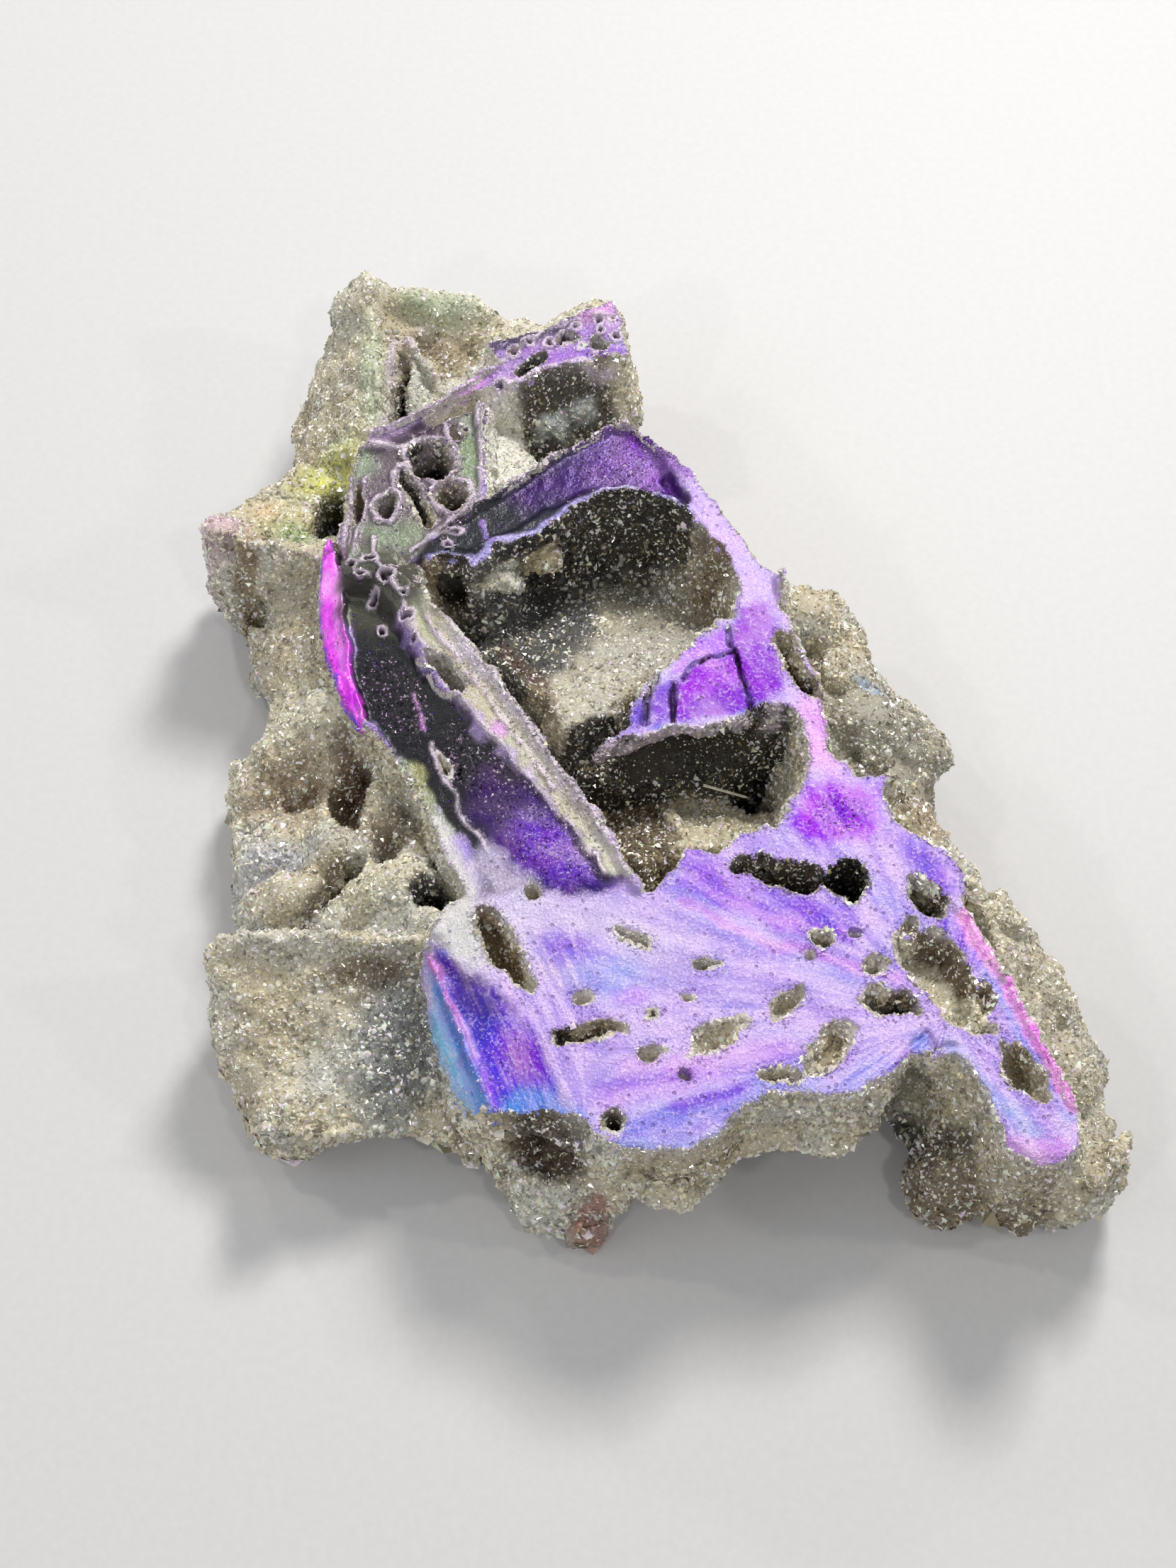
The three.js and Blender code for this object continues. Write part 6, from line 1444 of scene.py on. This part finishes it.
def streaked(w, tint, fine, broad):
    """The film's tint in streaks that run along its flow, shifted in hue and depth."""
    along, across = w.times(w.attribute("along"), 0.09), w.times(w.attribute("across"), 0.42)
    flow = w.add("CombineXYZ", X=along, Y=across, Z=w.times(broad, 1.1)).outputs[0]
    streak = w.noise(flow, 1.0, 5.0, 0.55)
    hue = w.plus(0.5, w.times(w.minus(streak, 0.5), 0.10))
    hue = w.plus(hue, w.times(w.minus(broad, 0.5), 0.07))
    deeper = w.ramp(streak, 0.60, 0.38)
    saturation = w.plus(0.86, w.times(deeper, 0.34))
    value = w.minus(w.plus(0.86, w.times(fine, 0.24)), w.times(deeper, 0.12))
    shifts = dict(Hue=hue, Saturation=saturation, Value=value)
    return w.add("HueSaturation", **shifts, Color=tint).outputs[0]


def film_coat(w, fine, medium, broad, pit, fleck):
    """The film's colour: its streaks under a fine net of pale flecks, small dark pits and paler edges."""
    coloured = streaked(w, w.attribute("tint", "Color"), fine, broad)
    net = w.times(w.ramp(fine, 0.50, 0.62), w.ramp(medium, 0.36, 0.56))
    coloured = w.toward(w.times(w.times(net, fleck), 0.42), coloured, FLECK)
    coloured = w.toward(w.times(pit, 0.4), coloured, DIMPLE)
    rim = w.times(w.ramp(w.attribute("film"), 0.95, 0.5), w.ramp(fine, 0.35, 0.6))
    return w.toward(w.times(rim, 0.6), coloured, FRINGE)


def filmed_rock():
    """The film in its colours over a grain of flecks, and the bare rock under the quartz points."""
    material, shader = tree_of("filmed_rock")
    w = Wires(material)
    place, fleck, glassy = w.position(), w.attribute("fleck"), w.attribute("glassy")
    fine, medium, broad = w.noise(place, 2600.0), w.noise(place, 900.0, 4.0), w.noise(place, 240.0)
    ragged = w.times(w.minus(medium, 0.5), 0.9)
    film = w.ramp(w.plus(w.attribute("film"), ragged), 0.44, 0.56)
    cells = w.add("TexVoronoi", {"feature": "F1"}, Vector=place, Scale=850.0, Randomness=1.0)
    pit = w.times(w.ramp(cells.outputs["Distance"], 0.24, 0.12), w.ramp(broad, 0.50, 0.56))
    coloured = film_coat(w, fine, medium, broad, pit, fleck)
    dust = w.times(w.ramp(fine, 0.35, 0.65), w.minus(0.2, w.times(glassy, 0.15)))
    dusty = w.toward(dust, w.attribute("rock", "Color"), DUST_AND_SHADE)
    w.feed(shader.inputs["Base Color"], w.mix(film, dusty, coloured))
    w.feed(shader.inputs["Metallic"], w.times(film, 0.38))
    rough = w.plus(0.24, w.times(w.plus(medium, fleck), 0.14))
    bare = w.times(w.minus(1.0, film), w.minus(0.2, w.times(glassy, 0.42)))
    w.feed(shader.inputs["Roughness"], w.plus(rough, bare))
    height = w.plus(w.times(fine, w.plus(0.25, fleck)), w.times(medium, 0.8))
    height = w.minus(height, w.times(pit, 0.8))
    bump = w.add("Bump", Strength=0.7, Distance=0.0003, Height=height)
    w.feed(shader.inputs["Normal"], bump.outputs[0])
    return material


def quartz_points():
    """Bright quartz in the points' own tints, each dimmed a little in clouds."""
    material, shader = tree_of("quartz_points")
    w = Wires(material)
    veil = w.noise(w.position(), 1500.0, 2.0)
    tint = w.attribute("tint", "Color")
    dim = w.mix(0.2, tint, (0.02, 0.015, 0.01, 1))
    w.feed(shader.inputs["Base Color"], w.mix(w.ramp(veil, 0.3, 0.7), dim, tint))
    w.feed(shader.inputs["Roughness"], w.plus(0.06, w.times(veil, 0.22)))
    shader.inputs["IOR"].default_value = QUARTZ_IOR
    shader.inputs["Specular IOR Level"].default_value = 0.8
    return material


def clear_points():
    """Clear quartz with a faint veil."""
    material, shader = tree_of("clear_points")
    w = Wires(material)
    veil = w.noise(w.position(), 700.0, 2.0)
    coloured = w.mix(w.times(veil, 0.5), w.attribute("tint", "Color"), (0.9, 0.88, 0.84, 1))
    w.feed(shader.inputs["Base Color"], coloured)
    w.feed(shader.inputs["Roughness"], w.times(veil, 0.12))
    shader.inputs["IOR"].default_value = QUARTZ_IOR
    shader.inputs["Transmission Weight"].default_value = 0.6
    return material


def glassy_on(points):
    """1 on the smooth, glassy lumps of the rock, 0 elsewhere."""
    x, y, z = points.T
    most = np.zeros(len(points))
    for at, half, turn, low, high in GLASSY:
        radius = oval_radius(at, half, turn, x, y) + 0.15 * noise(points, 3.0, 24)
        level = smoothstep(z, low, low + 2) * smoothstep(z, high, high - 2)
        most = np.maximum(most, smoothstep(radius, 1.1, 0.8) * level)
    return most


def not_blade(points):
    """Little on the smooth blade, 1 elsewhere."""
    return np.where(oval_radius(*BLADE_OVAL, points[:, 0], points[:, 1]) < 1, 0.1, 1.0)


def drusy_on(points):
    """1 where the film coats a rough druse, 0 where it is smooth."""
    x, y = points[:, 0], points[:, 1]
    shares = [1 - smoothstep(oval_radius(at, half, turn, x, y), 0.7, 1.1) for at, half, turn in DRUSY]
    return np.max(shares, axis=0)


def grain_of(points, tint):
    """How grainy the film is: 1 on its pale faces, less where it is dark, and least on the smooth blade."""
    return smoothstep(tint.mean(axis=1), 0.05, 0.35) * not_blade(points)


def give_flow(mesh, points):
    """Stores where each vertex is along and across the film's flow, and how grainy the film is there."""
    x, y = points[:, 0], points[:, 1]
    dx, dy = x - SWIRL[0], y - SWIRL[1]
    reach, turn = np.hypot(dx, dy), np.arctan2(dy, -dx)
    on_fan = (x < -10) & (y < -24)
    c, s = math.cos(FAN_TURN), math.sin(FAN_TURN)
    give(mesh, "along", np.where(on_fan, x * c + y * s, reach))
    give(mesh, "across", np.where(on_fan, 2 * (y * c - x * s), 26 * turn))
    give(mesh, "fleck", grain_of(points, film_colours(points)))


def dress_stone(stone, relief):
    """Gives the stone its colours and its place in the frame, and returns its material."""
    mesh = stone.data
    points, normals = plan_of(mesh)
    film = film_on(points, normals)
    give(mesh, "film", film)
    give(mesh, "tint", film_colours(points))
    # The rock under the points is darkened a little: painted shade in the gaps between them.
    give(mesh, "rock", mix(rock_colours_and_shade(points, relief), linear(DUST_AND_SHADE), 0.1))
    give(mesh, "glassy", glassy_on(points))
    give_flow(mesh, points)
    material = filmed_rock()
    mesh.materials.append(material)
    mesh.shade_smooth()
    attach(stone, "root")
    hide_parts("druse_slab")
    return material


def in_region(points, *names):
    """Whether each point is on or just beside one of the regions."""
    inside = np.zeros(len(points), bool)
    for name in names:
        inside |= outline_distance(REGIONS[name]["outline"], points[:, 0], points[:, 1]) < 1.5
    return inside


def facing_up(place, normal):
    """1 on the rock that shows from above, 0 on the flanks and the underside."""
    return smoothstep(normal[:, 2], 0.0, 0.3) * smoothstep(place[:, 2], 8, 12)


def facing_down(place, normal):
    """1 on the low faces that look down."""
    return (1 - smoothstep(normal[:, 2], -0.5, -0.2)) * (1 - smoothstep(place[:, 2], 7, 10))


def bare_on(place, normal):
    """1 on the rock, 0 on the film."""
    return 1 - smoothstep(film_on(place, normal), 0.3, 0.65)


def crowded(place):
    """1 where points grow close together, and little on the glassy lumps."""
    return 1 - 0.88 * glassy_on(place)


def wanted_on_top(place, normal):
    """The chance of a point on the upper side."""
    return bare_on(place, normal) * facing_up(place, normal) * crowded(place)


def wanted_on_flanks(place, normal):
    """The chance of a point on the flanks."""
    flank = bare_on(place, normal) * (1 - facing_up(place, normal))
    return flank * (1 - facing_down(place, normal)) * crowded(place)


GRADES = (
    (TOP_SPACING, wanted_on_top),
    (FLANK_SPACING, wanted_on_flanks),
    (UNDERSIDE_SPACING, facing_down),
)


def quartz_sites(surface, draw):
    """Places, normals, widths and heights of the rock's quartz points."""
    grown = []
    for spacing, wanted in GRADES:
        place, normal = sites_on(surface, spacing * COARSE, wanted, draw)
        size = 1 + 0.35 * noise(place, 7.0, 21) + 0.42 * draw.uniform(-1, 1, len(place))
        size *= 1 - 0.45 * smoothstep(film_round(place, 1.6), 0.5, 0.85)
        grown.append((place, normal, 0.72 * spacing * COARSE * size))
    place, normal, width = (np.concatenate(parts) for parts in zip(*grown))
    return place, normal, width, width * draw.uniform(0.4, 0.95, len(place))


def quartz_colours(place, relief, draw):
    """The points' colours: the rock's, lighter and darker at random, and some warmer."""
    colours = rock_colours_and_shade(place, relief)
    light = draw.uniform(0.38, 1.36, (len(place), 1))
    warm = (draw.uniform(0, 1, len(place)) < 0.2)[:, None]
    return np.where(warm, mix(colours, linear(AMBER), 0.3), colours) * light


def point_groups(place, normal):
    """Which points belong to each piece: the vugs' crusts, the underside and five parts of the rest."""
    x, y, z = place.T
    bowl = in_region(place, "bowl") & (y > 3.5) & (z < 26)
    pit = in_region(place, "lower_pit", "trench") & ~bowl & (z < 26)
    rest = ~(bowl | pit)
    under = rest & (normal[:, 2] < -0.25)
    upper = rest & ~under
    return {
        "bowl_points": bowl,
        "pit_points": pit,
        "underside_points": under,
        "far_points": upper & (y > 47),
        "ledge_points": upper & (y <= 47) & (x < -20) & (y > 8),
        "block_points": upper & (y <= 8) & (x < -20),
        "front_points": upper & (y <= -30) & (x >= -20),
        "right_points": upper & (y <= 47) & (y > -30) & (x >= -20),
    }


def grow_points(stone, relief):
    """The quartz points of the rock, in one mesh for each part of the stone."""
    draw = np.random.default_rng(23)
    sites = quartz_sites(skin_of(stone), draw)
    colours = quartz_colours(sites[0], relief, draw)
    finish = quartz_points()
    shapes = ((three_sided(), 0.7), (six_sided([0]), 0.3))
    for name, chosen in point_groups(*sites[:2]).items():
        some = [part[chosen] for part in sites]
        druse, owner = points_mesh(name, some, shapes, 0.25, draw)
        # A share of the facets get painted glints.
        give(druse.data, "tint", facet_tints_and_painted_glints(colours[chosen], owner, 0.135, draw), "FACE")
        druse.data.materials.append(finish)
        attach(druse, "root")
        if name in ("bowl_points", "pit_points"):
            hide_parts(name.replace("points", "crust"))
        print(name, int(chosen.sum()), "points", len(owner), "triangles")


def grainy_on(place, normal):
    """The chance of a grain: on the film's grainy parts, in clusters elsewhere, and along its edges."""
    share = film_on(place, normal)
    clusters = smoothstep(noise(place, 2.2, 17), -0.2, 0.5)
    grainy = 0.8 * grain_of(place, film_colours(place))
    grainy = np.maximum(grainy, 0.5 * clusters * not_blade(place))
    grainy = np.maximum(grainy, drusy_on(place))
    edge = 1 - smoothstep(share, 0.75, 0.97)
    return smoothstep(share, 0.3, 0.5) * (grainy + (1 - grainy) * edge)


def grain_tints(place, drusy, draw):
    """The grains' colours: the film's, some of them lighter, most of all where the film is dark."""
    tint = film_colours(place)
    dark = 1 - smoothstep(tint.mean(axis=1), 0.03, 0.2)
    lift = draw.uniform(0, 1, len(place)) ** (1 + 2 * dark) * (0.2 + 0.75 * dark)
    tint = mix(tint, linear(GRAIN), lift[:, None])
    return tint * mix(1, draw.uniform(0.4, 1.5, len(place)), drusy)[:, None]


def grow_film_grains(stone, film):
    """Low crystal tips under the film, most on the main face and along the film's edges."""
    draw = np.random.default_rng(29)
    place, normal = sites_on(skin_of(stone), GRAIN_SPACING * COARSE, grainy_on, draw)
    width = 0.8 * GRAIN_SPACING * COARSE * draw.uniform(0.7, 1.3, len(place))
    low = smoothstep(film_round(place, 1.2), 0.75, 0.95)
    drusy = drusy_on(place)
    rise = mix(2.0, 0.5, low) + 1.4 * drusy
    height = width * (0.14 + 0.3 * draw.uniform(0.4, 1, len(place)) * rise)
    sites = (place, normal, width, height)
    grains, owner = points_mesh("film_grains", sites, ((three_sided(), 1.0),), 0.12, draw)
    tint = grain_tints(place, drusy, draw)
    # A few of the grains' facets get painted glints.
    give(grains.data, "tint", facet_tints_and_painted_glints(tint, owner, 0.03, draw), "FACE")
    give_flow(grains.data, plan_of(grains.data)[0])
    give(grains.data, "film", np.ones(len(grains.data.vertices)))
    grains.data.materials.append(film)
    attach(grains, "root")
    print("film_grains", len(place))


def grow_clear_points(stone, relief):
    """Larger, clear quartz points that stand out of the druse here and there."""
    draw = np.random.default_rng(31)

    def wanted(place, normal):
        bare = 1 - smoothstep(film_round(place, 1.8), 0.02, 0.1)
        clusters = smoothstep(noise(place, 8.0, 31), -0.2, 0.5)
        return bare * clusters * smoothstep(relief.sink(place), 0.5, 2.5)

    place, normal = sites_on(skin_of(stone), CLEAR_SPACING * COARSE, wanted, draw)
    width = draw.uniform(0.25, 0.45, len(place))
    sites = (place, normal, width, width * draw.uniform(1.2, 2.0, len(place)))
    points, owner = points_mesh("clear_points", sites, ((six_sided([0, 0.55]), 1.0),), 0.35, draw)
    colours = mix(linear(CLEAR), rock_colours_and_shade(place, relief), 0.2)
    # A share of the clear points' facets get painted glints.
    give(points.data, "tint", facet_tints_and_painted_glints(colours, owner, 0.15, draw), "FACE")
    points.data.materials.append(clear_points())
    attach(points, "root")
    print("clear_points", len(place))


def lay_needle():
    """The one thin needle crystal, which lies across the lower pit to its black hole."""
    start, end = np.array(NEEDLE)
    length = np.linalg.norm(end - start)
    sites = (start[None], (end - start)[None] / length, np.array([NEEDLE_RADIUS]), np.array([length]))
    draw = np.random.default_rng(37)
    needle, _ = points_mesh("needle", sites, ((six_sided([0, 0.9]), 1.0),), 0, draw)
    give(needle.data, "tint", np.tile(linear(CHALK), (len(needle.data.polygons), 1)), "FACE")
    needle.data.materials.append(quartz_points())
    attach(needle, "root")


def make_floor():
    """The plain pale ground under the slab."""
    bpy.ops.mesh.primitive_plane_add(size=3)
    floor = bpy.context.object
    floor.name = "floor"
    material, shader = tree_of("floor")
    w = Wires(material)
    grain = w.noise(w.position(), 900.0, 2.0)
    w.feed(shader.inputs["Base Color"], w.mix(grain, (0.56, 0.56, 0.57, 1), (0.62, 0.62, 0.63, 1)))
    shader.inputs["Roughness"].default_value = 0.6
    floor.data.materials.append(material)


def make_light(name, place, size, power, colour):
    """A round lamp at a place, in metres, that is turned to the slab's middle."""
    light = bpy.data.lights.new(name, "AREA")
    light.shape = "DISK"
    light.size = size
    light.energy = power
    light.color = colour
    lamp = bpy.data.objects.new(name, light)
    lamp.location = place
    lamp.rotation_euler = (-Vector(place)).to_track_quat("-Z", "Y").to_euler()
    bpy.context.scene.collection.objects.link(lamp)


def make_camera():
    """Looks down on the slab from in front of it, at the photograph's angle."""
    camera = bpy.data.cameras.new("camera")
    camera.lens = LENS
    camera.sensor_width = 36
    camera.clip_start = 0.01
    eye = bpy.data.objects.new("camera", camera)
    x, y, z = CAMERA_AIM
    target = Vector((x - MIDDLE[0], y - MIDDLE[1], z)) * MM
    rise = math.radians(CAMERA_ELEVATION)
    eye.location = target + CAMERA_DISTANCE * MM * Vector((0, -math.cos(rise), math.sin(rise)))
    eye.rotation_euler = (target - eye.location).to_track_quat("-Z", "Y").to_euler()
    bpy.context.scene.collection.objects.link(eye)
    bpy.context.scene.camera = eye


# Azimuth and elevation of the small lamps that make the facets glint.
SPARKLES = ((20, 50), (100, 40), (150, 60), (215, 45), (290, 55), (330, 35))
SPARKLE_DISTANCE = 0.55


def light_studio():
    """Soft light from all round, a key and a fill, and six small lamps."""
    world = bpy.data.worlds.new("studio")
    world.use_nodes = True
    background = world.node_tree.nodes["Background"]
    background.inputs["Color"].default_value = (0.95, 0.96, 1.0, 1)
    background.inputs["Strength"].default_value = 0.32
    bpy.context.scene.world = world
    bpy.context.scene.view_settings.view_transform = "Standard"
    make_light("key", (0.16, 0.36, 0.5), 0.18, 3.0, (1.0, 0.97, 0.93))
    make_light("fill", (-0.45, -0.15, 0.45), 0.35, 0.5, (0.95, 0.97, 1.0))
    for i, (azimuth, elevation) in enumerate(SPARKLES):
        turn, rise = math.radians(azimuth), math.radians(elevation)
        level = math.cos(rise)
        aside = Vector((level * math.sin(turn), level * math.cos(turn), math.sin(rise)))
        make_light(f"sparkle_{i}", SPARKLE_DISTANCE * aside, 0.035, 0.26, (1.0, 0.97, 0.9))


make_camera()
make_floor()
light_studio()
relief = Relief()
stone = make_stone()
film = dress_stone(stone, relief)
grow_points(stone, relief)
grow_film_grains(stone, film)
grow_clear_points(stone, relief)
lay_needle()
